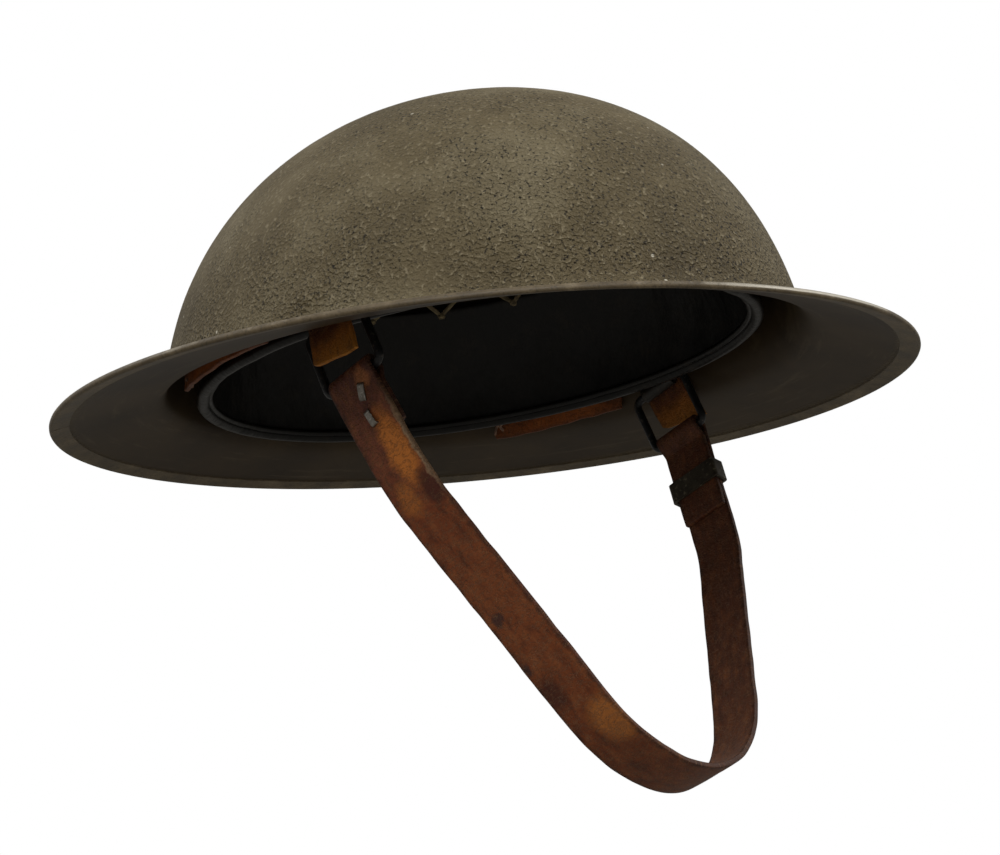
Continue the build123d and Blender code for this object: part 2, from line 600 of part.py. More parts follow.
# Flat staples through both layers of the right fold, in line along the strap
down_strap = Vector(math.sin(lean), -math.cos(lean))
into_strap = Vector(math.cos(lean), math.sin(lean))
crown_shift = (STRAP_THICKNESS + STAPLE_THICKNESS) / 2
staple_leg = crown_shift + STRAP_THICKNESS / 2 + layer_pitch
staple_turn = ("turn", STAPLE_BEND_RADIUS, 90)
staple_moves = [("straight", staple_leg - STAPLE_BEND_RADIUS, 0), staple_turn,
                ("straight", STAPLE_LENGTH - 2 * STAPLE_BEND_RADIUS, 0), staple_turn,
                ("straight", staple_leg - STAPLE_BEND_RADIUS, 0)]
staples = []
for index in range(2):
    first_leg = leave_point + down_strap * (STAPLE_FIRST + index * STAPLE_PITCH - STAPLE_LENGTH / 2)
    foot = first_leg + into_strap * (staple_leg - crown_shift)
    staple_face = ribbon(foot, 180 + STRAP_TOP_LEAN, staple_moves, STAPLE_THICKNESS)
    staples.append(hanger_strip(staple_face, STAPLE_WIDTH))
save(Compound(children=staples), "fold_staples")

# Slide: a steel loop round both layers of the left end
slide_lean = math.radians(SLIDE_SIDE_LEAN)
slide_down = Vector(-math.sin(slide_lean), -math.cos(slide_lean))
slide_in = Vector(-math.cos(slide_lean), math.sin(slide_lean))
left_bar = Vector(bail_x, bar_up)
slide_middle = left_bar - slide_in * (fold_radius - layer_pitch / 2) + slide_down * SLIDE_FROM_BAR
slide_depth = STRAP_THICKNESS + layer_pitch + 2 * SLIDE_GAP
slide_width = STRAP_WIDTH + 2 * SLIDE_GAP
slide_origin = hanger_plane.from_local_coords(slide_middle - slide_down * (SLIDE_LENGTH / 2))
slide_axis = (hanger_plane.from_local_coords(slide_down) - rivet_point).normalized()
slide_plane = Plane(origin=slide_origin, x_dir=hanger_forward, z_dir=slide_axis)
slide_outside = RectangleRounded(slide_width + 2 * SLIDE_WALL, slide_depth + 2 * SLIDE_WALL,
                                 SLIDE_CORNER_RADIUS)
strap_slide = extrude(slide_plane * (slide_outside - Rectangle(slide_width, slide_depth)), SLIDE_LENGTH)
save(strap_slide, "strap_slide")

print("slide axis", tuple(round(value, 5) for value in slide_axis))
print("bail axis", tuple(round(value, 5) for value in hanger_forward))
for label, up in (("bail pivot", -RIVET_TO_BAIL), ("strap pivot", bar_up)):
    print(label, tuple(round(value, 4) for value in hanger_point(-bail_x, up)))
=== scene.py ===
import functools
import math

import bpy
from mathutils import Matrix, Vector, noise


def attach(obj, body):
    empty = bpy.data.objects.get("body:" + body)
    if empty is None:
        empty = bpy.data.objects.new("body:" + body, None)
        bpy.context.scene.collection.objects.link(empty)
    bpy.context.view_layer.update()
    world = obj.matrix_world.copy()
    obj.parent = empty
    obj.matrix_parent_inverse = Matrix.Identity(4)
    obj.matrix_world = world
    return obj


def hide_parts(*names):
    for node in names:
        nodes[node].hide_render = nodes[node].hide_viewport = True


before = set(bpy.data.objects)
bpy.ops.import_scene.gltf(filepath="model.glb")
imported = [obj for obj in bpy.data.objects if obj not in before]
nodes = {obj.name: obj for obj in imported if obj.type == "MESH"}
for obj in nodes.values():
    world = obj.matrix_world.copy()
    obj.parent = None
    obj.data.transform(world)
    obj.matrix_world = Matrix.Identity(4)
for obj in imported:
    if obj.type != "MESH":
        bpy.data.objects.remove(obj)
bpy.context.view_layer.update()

# A pressed steel helmet with a wide brim, an oilcloth and net lining and a leather chin strap.
# Metres, +Z up, the wearer looks along -Y. Sizes in the dictionaries are millimetres and degrees.
mm = 0.001
scene = bpy.context.scene
sides = ((-1, "right"), (1, "left"))


def deselectAll():
    if bpy.context.object and bpy.context.object.mode != "OBJECT":
        bpy.ops.object.mode_set(mode="OBJECT")
    bpy.ops.object.select_all(action="DESELECT")


def takeUp(piece):
    # makes one piece the only selected and active one
    deselectAll()
    piece.select_set(True)
    bpy.context.view_layer.objects.active = piece


def takeNew(name):
    # the piece that the last operator made
    bpy.context.object.name = name
    return bpy.context.object


def finishModifier(piece, kind, **settings):
    # adds a modifier and applies it at once
    takeUp(piece)
    modifier = piece.modifiers.new(kind.title(), kind)
    for name, value in settings.items():
        setattr(modifier, name, value)
    bpy.ops.object.modifier_apply(modifier=modifier.name)


def smoothPiece(piece, angle):
    takeUp(piece)
    bpy.ops.object.shade_smooth_by_angle(angle=math.radians(angle))


def closeUp(piece):
    # merges doubles and turns the faces outwards
    takeUp(piece)
    bpy.ops.object.mode_set(mode="EDIT")
    bpy.ops.mesh.select_all(action="SELECT")
    bpy.ops.mesh.remove_doubles(threshold=0.005 * mm)
    bpy.ops.mesh.normals_make_consistent(inside=False)
    bpy.ops.object.mode_set(mode="OBJECT")


def giveWall(piece, thickness, cornerRound=0.0, segments=2, offset=0, evenly=False):
    # gives a sheet its thickness and rounds its corners
    finishModifier(piece, "SOLIDIFY", thickness=thickness * mm, offset=offset, use_even_offset=evenly)
    closeUp(piece)
    if cornerRound:
        finishModifier(piece, "BEVEL", width=cornerRound * mm, segments=segments, limit_method="ANGLE",
                       angle_limit=math.radians(50))


def joinPieces(name, pieces):
    takeUp(pieces[0])
    for piece in pieces:
        piece.select_set(True)
    bpy.ops.object.join()
    return takeNew(name)


def settle(piece, smooth, body, slot, *replaced):
    # smooth shading up to an angle, the piece's body, its material slot, which is not used, and the CAD nodes that it
    # stands for
    if smooth:
        smoothPiece(piece, smooth)
    if replaced:
        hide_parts(*replaced)
    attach(piece, body)
    return piece


def easeShare(value):
    # 0 to 1 with a soft start and end
    value = min(max(value, 0), 1)
    return value * value * (3 - 2 * value)


def alongPoints(points, place):
    # the value at a place between points, and before the first and after the last the value there
    if place <= points[0][0]:
        return points[0][1]
    for (first, low), (last, high) in zip(points, points[1:]):
        if place <= last:
            return low + (high - low) * (place - first) / (last - first)
    return points[-1][1]


def roundWay(angle, reach, height=0.0):
    # a place to read noise at that closes on itself round the helmet
    return Vector((math.cos(angle) * reach, math.sin(angle) * reach, height))


def growBowl(name, count, rings, fillStart=False, fillEnd=False):
    # a ring of edges, extruded and resized from one ring (halfWidth, halfLength, z) to the next
    deselectAll()
    halfWidth, halfLength, z = rings[0]
    bpy.ops.mesh.primitive_circle_add(vertices=count, radius=halfWidth * mm, location=(0, centreY * mm, z * mm))
    piece = takeNew(name)
    bpy.ops.object.transform_apply(location=True, rotation=True, scale=True)
    bpy.ops.object.mode_set(mode="EDIT")
    bpy.ops.mesh.select_all(action="SELECT")
    middle = (0, centreY * mm, 0)
    bpy.ops.transform.resize(value=(1, halfLength / halfWidth, 1), center_override=middle)
    if fillStart:
        bpy.ops.mesh.edge_face_add()
        bpy.ops.mesh.poke()
        bpy.ops.object.mode_set(mode="OBJECT")
        for edge in piece.data.edges:
            edge.select = max(edge.vertices) < count
        for vertex in piece.data.vertices:
            vertex.select = vertex.index < count
        for face in piece.data.polygons:
            face.select = False
        bpy.ops.object.mode_set(mode="EDIT")
        bpy.ops.mesh.select_mode(type="EDGE")
    for last, ring in zip(rings, rings[1:]):
        bpy.ops.mesh.extrude_edges_move(TRANSFORM_OT_translate={"value": (0, 0, (ring[2] - last[2]) * mm)})
        bpy.ops.transform.resize(value=(ring[0] / last[0], ring[1] / last[1], 1), center_override=middle)
    if fillEnd:
        bpy.ops.mesh.edge_face_add()
        bpy.ops.mesh.poke()
    bpy.ops.object.mode_set(mode="OBJECT")
    return piece


# Camera, from the place and turn that the photograph was taken at
viewPoint = {"azimuth": -53.0, "elevation": -12.794, "roll": -7.195, "distance": 781.179,
             "alongRight": -6.169, "alongUp": 10.242, "lens": 79.0, "sensor": 36.0}


def placeCamera():
    azimuth, elevation, roll = [math.radians(viewPoint[key]) for key in ("azimuth", "elevation", "roll")]
    back = Vector((math.sin(azimuth) * math.cos(elevation), -math.cos(azimuth) * math.cos(elevation),
                   math.sin(elevation)))
    level = Vector((0, 0, 1)).cross(back).normalized()
    rise = back.cross(level)
    right = level * math.cos(roll) + rise * math.sin(roll)
    up = rise * math.cos(roll) - level * math.sin(roll)
    place = (back * viewPoint["distance"] - right * viewPoint["alongRight"] - up * viewPoint["alongUp"]) * mm
    camera = bpy.data.cameras.new("camera")
    camera.lens = viewPoint["lens"]
    camera.sensor_width = viewPoint["sensor"]
    camera.clip_start = 0.01
    holder = bpy.data.objects.new("camera", camera)
    scene.collection.objects.link(holder)
    holder.matrix_world = Matrix.Translation(place) @ Matrix((right, up, back)).transposed().to_4x4()
    scene.camera = holder


placeCamera()

# Soft studio light, a plain pale floor and a white surround. Each lamp has its place, size and power.
studio = {"floorHex": "8f8d88", "floorZ": -300.0, "floorSize": 9000.0, "floorGlow": 0.62, "glowHex": "fbfbfa",
          "surroundHex": "f4f2ee", "surroundStrength": 0.5,
          "lamps": {"key": ((-640, -560, 560), 760, 5.4), "side": ((560, -880, 640), 900, 5.0),
                    "rear": ((-500, 800, 800), 800, 2.8)}}


def hexColour(text):
    # sRGB hex to linear
    values = [int(text[index:index + 2], 16) / 255 for index in (0, 2, 4)]
    linear = [value / 12.92 if value <= 0.04045 else ((value + 0.055) / 1.055) ** 2.4 for value in values]
    return (*linear, 1)


def addNode(tree, kind, inputs=None, stops=None, **settings):
    # one shader node with its settings, the stops of its ramp, and its inputs: values, hex colours or links
    node = tree.nodes.new("ShaderNode" + kind)
    for name, value in settings.items():
        setattr(node, name, value)
    for socket, value in (inputs or {}).items():
        if isinstance(value, bpy.types.Node):
            value = next(output for output in value.outputs if output.enabled)
        if isinstance(value, bpy.types.NodeSocket):
            tree.links.new(value, node.inputs[socket])
        else:
            node.inputs[socket].default_value = hexColour(value) if isinstance(value, str) else value
    if stops:
        elements = node.color_ramp.elements
        while len(elements) < len(stops):
            elements.new(0.5)
        for element, (place, colour) in zip(elements, stops):
            element.position = place
            element.color = hexColour(colour) if isinstance(colour, str) else (colour, colour, colour, 1)
    return node


def newMaterial(name):
    # an empty material, and addNode for its tree
    material = bpy.data.materials.new(name)
    material.use_nodes = True
    material.node_tree.nodes.clear()
    return material, functools.partial(addNode, material.node_tree)


def coverWith(material, *pieces):
    for piece in pieces:
        if len(piece.data.materials):
            piece.data.materials[0] = material
        else:
            piece.data.materials.append(material)


def setStudio():
    deselectAll()
    bpy.ops.mesh.primitive_plane_add(size=studio["floorSize"] * mm, location=(0, 0, studio["floorZ"] * mm))
    floor = takeNew("studio_floor")
    bpy.ops.object.transform_apply(location=True)
    material, add = newMaterial("pale_matt_floor")
    cameraRay = add("LightPath").outputs["Is Camera Ray"]
    seen = add("Math", {0: cameraRay, 1: studio["floorGlow"]}, operation="MULTIPLY")
    matt = add("BsdfPrincipled", {"Base Color": studio["floorHex"], "Roughness": 0.9})
    glow = add("Emission", {"Color": studio["glowHex"], "Strength": 1.0})
    add("OutputMaterial", {"Surface": add("MixShader", {0: seen, 1: matt, 2: glow})})
    coverWith(material, floor)
    world = bpy.data.worlds.new("surround")
    scene.world = world
    world.use_nodes = True
    world.node_tree.nodes.clear()
    add = functools.partial(addNode, world.node_tree)
    path = add("LightPath").outputs
    seen = add("Math", {0: path["Is Camera Ray"], 1: path["Is Transmission Ray"]}, operation="MAXIMUM")
    soft = add("Background", {"Color": studio["surroundHex"], "Strength": studio["surroundStrength"]})
    white = add("Background", {"Color": (1, 1, 1, 1), "Strength": 1.0})
    add("OutputWorld", {"Surface": add("MixShader", {0: seen, 1: soft, 2: white})})
    for name, (place, size, power) in studio["lamps"].items():
        lamp = bpy.data.lights.new(name + "_lamp", "AREA")
        lamp.size = size * mm
        lamp.energy = power
        holder = bpy.data.objects.new(name + "_lamp", lamp)
        scene.collection.objects.link(holder)
        holder.location = Vector(place) * mm
        holder.rotation_euler = (-holder.location).to_track_quat("-Z", "Y").to_euler()
    scene.view_settings.view_transform = "Standard"


setStudio()
print("stage: camera, floor and lamps")

# Shell: one steel pressing, bowl, bend and brim. Tilt: (height, share of the brim's tilt) up the wall.
# Relief: (size, depth) of the shallow hammered dents and of a faint ripple.
shellForm = {"brimHalfWidth": 147.5, "brimHalfLength": 154.5, "brimSlope": 15.0, "brimTilt": 2.33,
             "brimEdgeZ": -1.0, "bendRadius": 9.0, "bendTopZ": 16.0, "bowlHalfWidth": 103.4,
             "bowlHalfLength": 122.2, "bowlBaseZ": -12.2, "bowlHeight": 119.3, "bowlCentreY": 1.3,
             "planPower": 2.206, "heightPower": 2.215, "wall": 1.0,
             "tilt": ((7.3, 1.0), (9.16, 0.9), (12.23, 0.78), (16.0, 0.62), (28.75, 0.3), (43.3, 0.08), (57.9, 0.0)),
             "corners": 96, "innerSteps": (4, 3, 15), "outerSteps": (7, 5, 27),
             "relief": ((48.0, 0.22), (7.0, 0.05)), "calmBelow": 4.0, "calmRun": 12.0}
centreY = shellForm["bowlCentreY"]
brimHalf = (shellForm["brimHalfWidth"], shellForm["brimHalfLength"])


def bowlAxes(z, sideInset=0.0, topInset=0.0):
    # half width and half length of the bowl at a height, inset from its outer face
    rise = min(max((z - shellForm["bowlBaseZ"]) / (shellForm["bowlHeight"] - topInset), 0), 1)
    share = max(1 - rise ** shellForm["heightPower"], 0) ** (1 / shellForm["planPower"])
    return (shellForm["bowlHalfWidth"] - sideInset) * share, (shellForm["bowlHalfLength"] - sideInset) * share


def bowlHeights(lowZ, topInset, count, lastAngle=88.6):
    # heights that space the rings evenly over the curve of the bowl
    height = shellForm["bowlHeight"] - topInset
    firstRise = ((lowZ - shellForm["bowlBaseZ"]) / height) ** (shellForm["heightPower"] / 2)
    first, last = math.asin(min(firstRise, 1)), math.radians(lastAngle)
    for step in range(count + 1):
        angle = first + (last - first) * step / count
        yield shellForm["bowlBaseZ"] + height * math.sin(angle) ** (2 / shellForm["heightPower"])


def shellRings(inset, brimSteps, bendSteps, bowlSteps):
    # rings of one face of the shell, from the edge of the brim to the crown
    slope, radius, topZ = math.radians(shellForm["brimSlope"]), shellForm["bendRadius"], shellForm["bendTopZ"]
    wallWidth, wallLength = bowlAxes(topZ)
    bendRings = []
    for step in range(bendSteps + 1):
        angle = (math.pi / 2 - slope) * (1 - step / bendSteps)
        reach = radius - (radius + inset) * math.cos(angle)
        bendRings.append((wallWidth + reach, wallLength + reach, topZ - (radius + inset) * math.sin(angle)))
    edge = (*brimHalf, shellForm["brimEdgeZ"] - inset / math.cos(slope))
    rings = [tuple(a + (b - a) * step / brimSteps for a, b in zip(edge, bendRings[0])) for step in range(brimSteps)]
    heights = list(bowlHeights(topZ, inset, bowlSteps))[1:]
    return rings + bendRings + [(*bowlAxes(z, inset, inset), z) for z in heights]


def tiltWithBrim(piece):
    # the brim leans with its front lower, and the bowl straightens above the bend
    for vertex in piece.data.vertices:
        share = alongPoints(shellForm["tilt"], vertex.co.z / mm)
        angle = math.radians(shellForm["brimTilt"] * share)
        y = vertex.co.y - centreY * mm
        vertex.co.y = centreY * mm * (1 - share) + y * math.cos(angle)
        vertex.co.z += y * math.sin(angle)


def markPoints(piece, name, values):
    # a value at each vertex, for the materials
    piece.data.attributes.new(name, "FLOAT", "POINT").data.foreach_set("value", values)


def makeShell():
    inner, outer = shellRings(shellForm["wall"], *shellForm["innerSteps"]), shellRings(0.0, *shellForm["outerSteps"])
    piece = growBowl("steel_shell", shellForm["corners"], inner[::-1] + outer, fillStart=True, fillEnd=True)
    tiltWithBrim(piece)
    closeUp(piece)
    # the outer face holds the sand of the paint
    coated = [0.0] * len(piece.data.vertices)
    for face in piece.data.polygons:
        if face.normal.dot(Vector((face.center.x, face.center.y, 0)).normalized() + Vector((0, 0, 1.5))) > 0:
            for index in face.vertices:
                coated[index] = 1.0
    markPoints(piece, "sandCoat", coated)
    finishModifier(piece, "SUBSURF", levels=2, render_levels=2)
    coat = [item.value for item in piece.data.attributes["sandCoat"].data]
    normals = [vertex.normal.copy() for vertex in piece.data.vertices]
    for vertex, share, normal in zip(piece.data.vertices, coat, normals):
        spot = vertex.co / mm
        dent = sum(noise.noise(spot / size) * depth for size, depth in shellForm["relief"])
        calm = easeShare((spot.z - shellForm["calmBelow"]) / shellForm["calmRun"])
        vertex.co += normal * dent * share * calm * mm
    return settle(piece, 60, "helmet", "shell_paint", "shell")


steelShell = makeShell()
print("stage: steel shell", len(steelShell.data.polygons), "faces")

# Rim: a steel strip folded over the edge of the brim round a small bead, with one butt joint.
# Rubbed: the direction in degrees of the most worn stretch, and its reach to each side.
rimForm = {"beadRadius": 1.15, "wall": 0.42, "leg": 6.0, "slack": 0.08, "lip": 0.12, "corners": 360, "beadSteps": 7,
           "buttAngle": 138.0, "buttGap": 0.5, "buttReach": 12.0, "rubbed": (262.0, 20.0)}


def brimHeight(x, y):
    # height of the brim's upper face at a place, before it is tilted
    edge, bend = shellRings(0.0, 1, 1, 1)[:2]
    low, high = -0.3, 1.0
    for _ in range(22):
        share = (low + high) / 2
        halfWidth, halfLength, z = [a + (b - a) * share for a, b in zip(edge, bend)]
        if (x / halfWidth) ** 2 + (y / halfLength) ** 2 > 1:
            high = share
        else:
            low = share
    return z


def rimProfile():
    # (outwards, up) round the strip's section: outer skin, then back along its inner skin
    bead, wall, leg = rimForm["beadRadius"], rimForm["wall"], rimForm["leg"]
    legInner = shellForm["wall"] / 2 + rimForm["slack"]
    legOuter = legInner + wall
    points = [(-leg, legInner), (-leg + rimForm["lip"], legOuter), (-leg * 0.66, legOuter),
              (-leg * 0.3, legOuter * 1.04)]
    lower = [(out, -up) for out, up in reversed(points)]
    for step in range(rimForm["beadSteps"] + 1):
        angle = math.pi / 2 - math.pi * step / rimForm["beadSteps"]
        points.append((bead * math.cos(angle), bead * math.sin(angle)))
    inner = bead - wall
    return points + lower + [(0, -inner), (inner, 0), (0, inner)]


def cutButt(piece):
    # the gap between the strip's two ends
    angle, reach = math.radians(rimForm["buttAngle"]), rimForm["buttReach"] * mm
    centre = Vector((brimHalf[0] * math.cos(angle), brimHalf[1] * math.sin(angle), 0)) * mm
    along = Vector((-brimHalf[0] * math.sin(angle), brimHalf[1] * math.cos(angle), 0)).normalized()
    half = rimForm["buttGap"] / 2 * mm
    for shift in (-half, half):
        takeUp(piece)
        for face in piece.data.polygons:
            face.select = (face.center.xy.to_3d() - centre).length < reach
        bpy.ops.object.mode_set(mode="EDIT")
        bpy.ops.mesh.select_mode(type="FACE")
        bpy.ops.mesh.bisect(plane_co=centre + along * shift, plane_no=along)
        bpy.ops.mesh.select_all(action="DESELECT")
        bpy.ops.object.mode_set(mode="OBJECT")
    for face in piece.data.polygons:
        flat = face.center.xy.to_3d() - centre
        face.select = abs(flat.dot(along)) < half and flat.length < reach
    bpy.ops.object.mode_set(mode="EDIT")
    bpy.ops.mesh.delete(type="FACE")
    bpy.ops.mesh.select_mode(type="EDGE")
    bpy.ops.mesh.select_non_manifold()
    bpy.ops.mesh.fill_holes(sides=0)
    bpy.ops.object.mode_set(mode="OBJECT")


def makeRim():
    profile = rimProfile()
    rings = [(brimHalf[0] + out, brimHalf[1] + out, up) for out, up in profile + profile[:1]]
    piece = growBowl("folded_rim_strip", rimForm["corners"], rings)
    middle, reach = rimForm["rubbed"]
    worn = []
    for vertex in piece.data.vertices:
        out, up = profile[vertex.index // rimForm["corners"] % len(profile)]
        vertex.co.z = (brimHeight(vertex.co.x / mm, vertex.co.y / mm - centreY) - shellForm["wall"] / 2 + up) * mm
        around = math.degrees(math.atan2(vertex.co.y, vertex.co.x)) % 360
        rubbed = easeShare(1.6 - abs(around - middle) / reach * 1.6)
        worn.append((0.45 + 0.55 * rubbed) * easeShare((out + 0.5) / 1.2) * easeShare((up + 0.6) / 1.0))
    tiltWithBrim(piece)
    markPoints(piece, "wornEdge", worn)
    closeUp(piece)
    cutButt(piece)
    return settle(piece, 38, "helmet", "rim_paint", "rim")


foldedRim = makeRim()
print("stage: folded rim", len(foldedRim.data.polygons), "faces")

# Hangers: the plane that each hangs in, and its rivet. Head: (radius, out) of the painted head, which fades into
# the bowl, and clench: (radius, out) of the end inside, from its own face.
hanger = {"tilt": 18.5, "rivetY": -11.5, "rivetZ": 21.0, "rivetToBail": 10.0, "bailHeight": 22.0, "bailX": 92.66,
          "shankRadius": 2.0, "clenchX": 91.88, "rivetCorners": 40,
          "head": ((6.4, -0.6), (7.0, -0.14), (6.2, -0.02), (5.2, 0.1), (4.2, 0.3), (3.1, 0.5), (1.9, 0.62),
                   (0.7, 0.67)),
          "clench": ((1.2, 0.0), (2.7, 0.05), (3.4, 0.35), (3.6, 0.8), (3.5, 1.15), (2.0, 1.2))}
hangerAngle = math.radians(hanger["tilt"])
hangerUp = Vector((0, math.sin(hangerAngle), math.cos(hangerAngle)))
hangerForward = Vector((0, -math.cos(hangerAngle), math.sin(hangerAngle)))


def hangerPlace(x, up, forward=0.0):
    # a point of the hanger plane, where up is measured from the rivet
    return Vector((x, hanger["rivetY"], hanger["rivetZ"])) + hangerUp * up + hangerForward * forward


def bowlSide(y, z):
    # how far out the bowl's outer face is at a place of its side
    share = alongPoints(shellForm["tilt"], z)
    angle = math.radians(shellForm["brimTilt"] * share)
    run = (y - centreY * (1 - share)) / math.cos(angle)
    halfWidth, halfLength = bowlAxes(z - run * math.sin(angle))
    return halfWidth * math.sqrt(max(1 - (run / halfLength) ** 2, 0))


def makeHangerRivet(side, sideName):
    face = bowlSide(hanger["rivetY"], hanger["rivetZ"])
    rings = [(radius, radius, hanger["clenchX"] - face + out) for radius, out in hanger["clench"]]
    rings.append((hanger["shankRadius"], hanger["shankRadius"], hanger["head"][0][1] - 0.02))
    rings += [(radius, radius, out) for radius, out in hanger["head"]]
    piece = growBowl(sideName + "_rivet", hanger["rivetCorners"], rings, fillStart=True, fillEnd=True)
    for vertex in piece.data.vertices:
        forward, up, out = vertex.co.x / mm, vertex.co.y / mm - centreY, vertex.co.z / mm
        y, z = hanger["rivetY"] - forward, hanger["rivetZ"] + up
        skin = bowlSide(y, z) if out > hanger["head"][0][1] - 0.1 else face
        vertex.co = Vector((side * (skin + out), y, z)) * mm
    markPoints(piece, "sandCoat", [1.0] * len(piece.data.vertices))
    closeUp(piece)
    return settle(piece, 40, "helmet", "rivet_paint", sideName + "_hanger_rivet")


hangerRivets = [makeHangerRivet(*side) for side in sides]

# Chin strap: one band of leather, folded over both bails and curved under the chin. Runs are along the strap from
# where it leaves the right bail. Edge and lift: (size along, size across, depth) of the noise that moves each.
strapForm = {"width": 19.0, "thickness": 2.0, "drop": 142.0, "chinRadius": 50.0, "wireRadius": 1.5,
             "foldClearance": 0.35, "layerGap": 0.2, "foldAngle": 40.0, "easeRadius": 3.0,
             "staples": {"lean": 12.0, "lowLean": 29.7, "straight": 27.0, "tail": 14.5},
             "slide": {"lean": 15.0, "lowLean": 30.5, "straight": 46.0, "tail": 31.0},
             "rowsAcross": 12, "longStep": 2.4, "turnStep": 9.0, "cornerRound": 0.42,
             "edge": (7.0, 2.2, 0.28), "lift": (22.0, 6.0, 0.42), "calmAfter": 26.0, "calmBefore": 88.0,
             "calmRun": (24.0, 25.0), "foldNarrow": 0.06, "narrowAt": (-6.0, 9.0), "tailShift": 0.2,
             "tailFrom": 9.0, "torn": (2.6, 1.6), "tornCorners": 0.8, "cup": 0.35, "dent": (12.0, 6.0, 0.22)}
foldRadius = strapForm["wireRadius"] + strapForm["foldClearance"] + strapForm["thickness"] / 2
layerPitch = strapForm["thickness"] + strapForm["layerGap"]


def waver(x, y, z):
    return noise.noise(Vector((x, y, z)))


def headingWay(heading):
    # (x, up) of a step in a direction of the hanger plane
    return Vector((math.cos(math.radians(heading)), math.sin(math.radians(heading))))


def foldMoves(tail):
    # from the tip up beside the strap and over the bail
    angle = math.radians(strapForm["foldAngle"])
    shift = foldRadius * (1 + math.cos(angle)) - layerPitch - strapForm["easeRadius"] * (1 - math.cos(angle))
    return [("straight", tail, 0), ("turn", strapForm["easeRadius"], -strapForm["foldAngle"]),
            ("straight", shift / math.sin(angle), 0), ("turn", foldRadius, 180 + strapForm["foldAngle"])]


def legMoves(end):
    # one side of the loop, from the bail down to the middle of the chin
    top, low = math.radians(end["lean"]), math.radians(end["lowLean"])
    straight, chin = end["straight"], strapForm["chinRadius"]
    acrossLeft = hanger["bailX"] + foldRadius * math.cos(top) - straight * math.sin(top) - chin * math.cos(low)
    dropLeft = strapForm["drop"] - foldRadius * math.sin(top) - straight * math.cos(top) - chin * (1 - math.sin(low))
    turnX, turnY = math.cos(top) - math.cos(low), math.sin(low) - math.sin(top)
    divisor = turnX * math.cos(low) - turnY * math.sin(low)
    radius = (acrossLeft * math.cos(low) - dropLeft * math.sin(low)) / divisor
    run = (turnX * dropLeft - turnY * acrossLeft) / divisor
    return [("straight", straight, 0), ("turn", radius, end["lowLean"] - end["lean"]), ("straight", run, 0),
            ("turn", chin, 90 - end["lowLean"])]


def walkRoute(start, heading, moves):
    # stations (x, up, heading) in the hanger plane, close together in the turns
    stations = [(*start, heading)]
    for kind, size, angle in moves:
        place, turn = Vector(stations[-1][:2]), stations[-1][2]
        if kind == "straight":
            count = max(round(size / strapForm["longStep"]), 1)
            stations += [(*(place + headingWay(turn) * size * step / count), turn) for step in range(1, count + 1)]
            continue
        arc, square = abs(math.radians(angle)) * size, math.copysign(90, angle)
        count = max(round(abs(angle) / strapForm["turnStep"]), round(arc / strapForm["longStep"]), 2)
        centre = place + headingWay(turn + square) * size
        for step in range(1, count + 1):
            heading = turn + angle * step / count
            stations.append((*(centre - headingWay(heading + square) * size), heading))
    return stations


def surfaceMap(piece):
    layers = piece.data.uv_layers
    return (layers[0] if layers else layers.new(name="surfaceMap")).data


def mapSurface(piece, spots):
    # a UV map in metres, from one (across, along) in millimetres for each vertex
    spread = surfaceMap(piece)
    for loop in piece.data.loops:
        spread[loop.index].uv = [value * mm for value in spots[loop.vertex_index]]


def runLengths(stations):
    # how far along the strap each station is
    runs = [0.0]
    for here, there in zip(stations, stations[1:]):
        runs.append(runs[-1] + math.dist(here[:2], there[:2]))
    return runs


def growStrap(name, stations, width, rows, firstRun=0.0):
    # a row of edges across the strap, extruded from station to station
    deselectAll()
    bpy.ops.mesh.primitive_plane_add(size=width * mm)
    piece = takeNew(name)
    bpy.ops.object.mode_set(mode="EDIT")
    bpy.ops.mesh.select_all(action="DESELECT")
    bpy.ops.object.mode_set(mode="OBJECT")
    for vertex in piece.data.vertices:
        vertex.select = vertex.co.y > 0
    bpy.ops.object.mode_set(mode="EDIT")
    bpy.ops.mesh.select_mode(type="VERT")
    bpy.ops.mesh.delete(type="VERT")
    bpy.ops.mesh.select_all(action="SELECT")
    bpy.ops.mesh.select_mode(type="EDGE")
    bpy.ops.mesh.select_all(action="SELECT")
    bpy.ops.mesh.subdivide(number_cuts=rows - 1)
    for _ in stations[1:]:
        bpy.ops.mesh.extrude_edges_move(TRANSFORM_OT_translate={"value": (0, mm, 0)})
    bpy.ops.object.mode_set(mode="OBJECT")
    runs, spots = runLengths(stations), []
    for vertex in piece.data.vertices:
        index = vertex.index // (rows + 1)
        spots.append((vertex.co.x / mm, firstRun + runs[index]))
        vertex.co = hangerPlace(*stations[index][:2], spots[-1][0]) * mm
    mapSurface(piece, spots)
    return piece, spots


rightWay = headingWay(strapForm["staples"]["lean"])
leavePoint = Vector((-hanger["bailX"], -hanger["rivetToBail"] - hanger["bailHeight"])) - rightWay * foldRadius


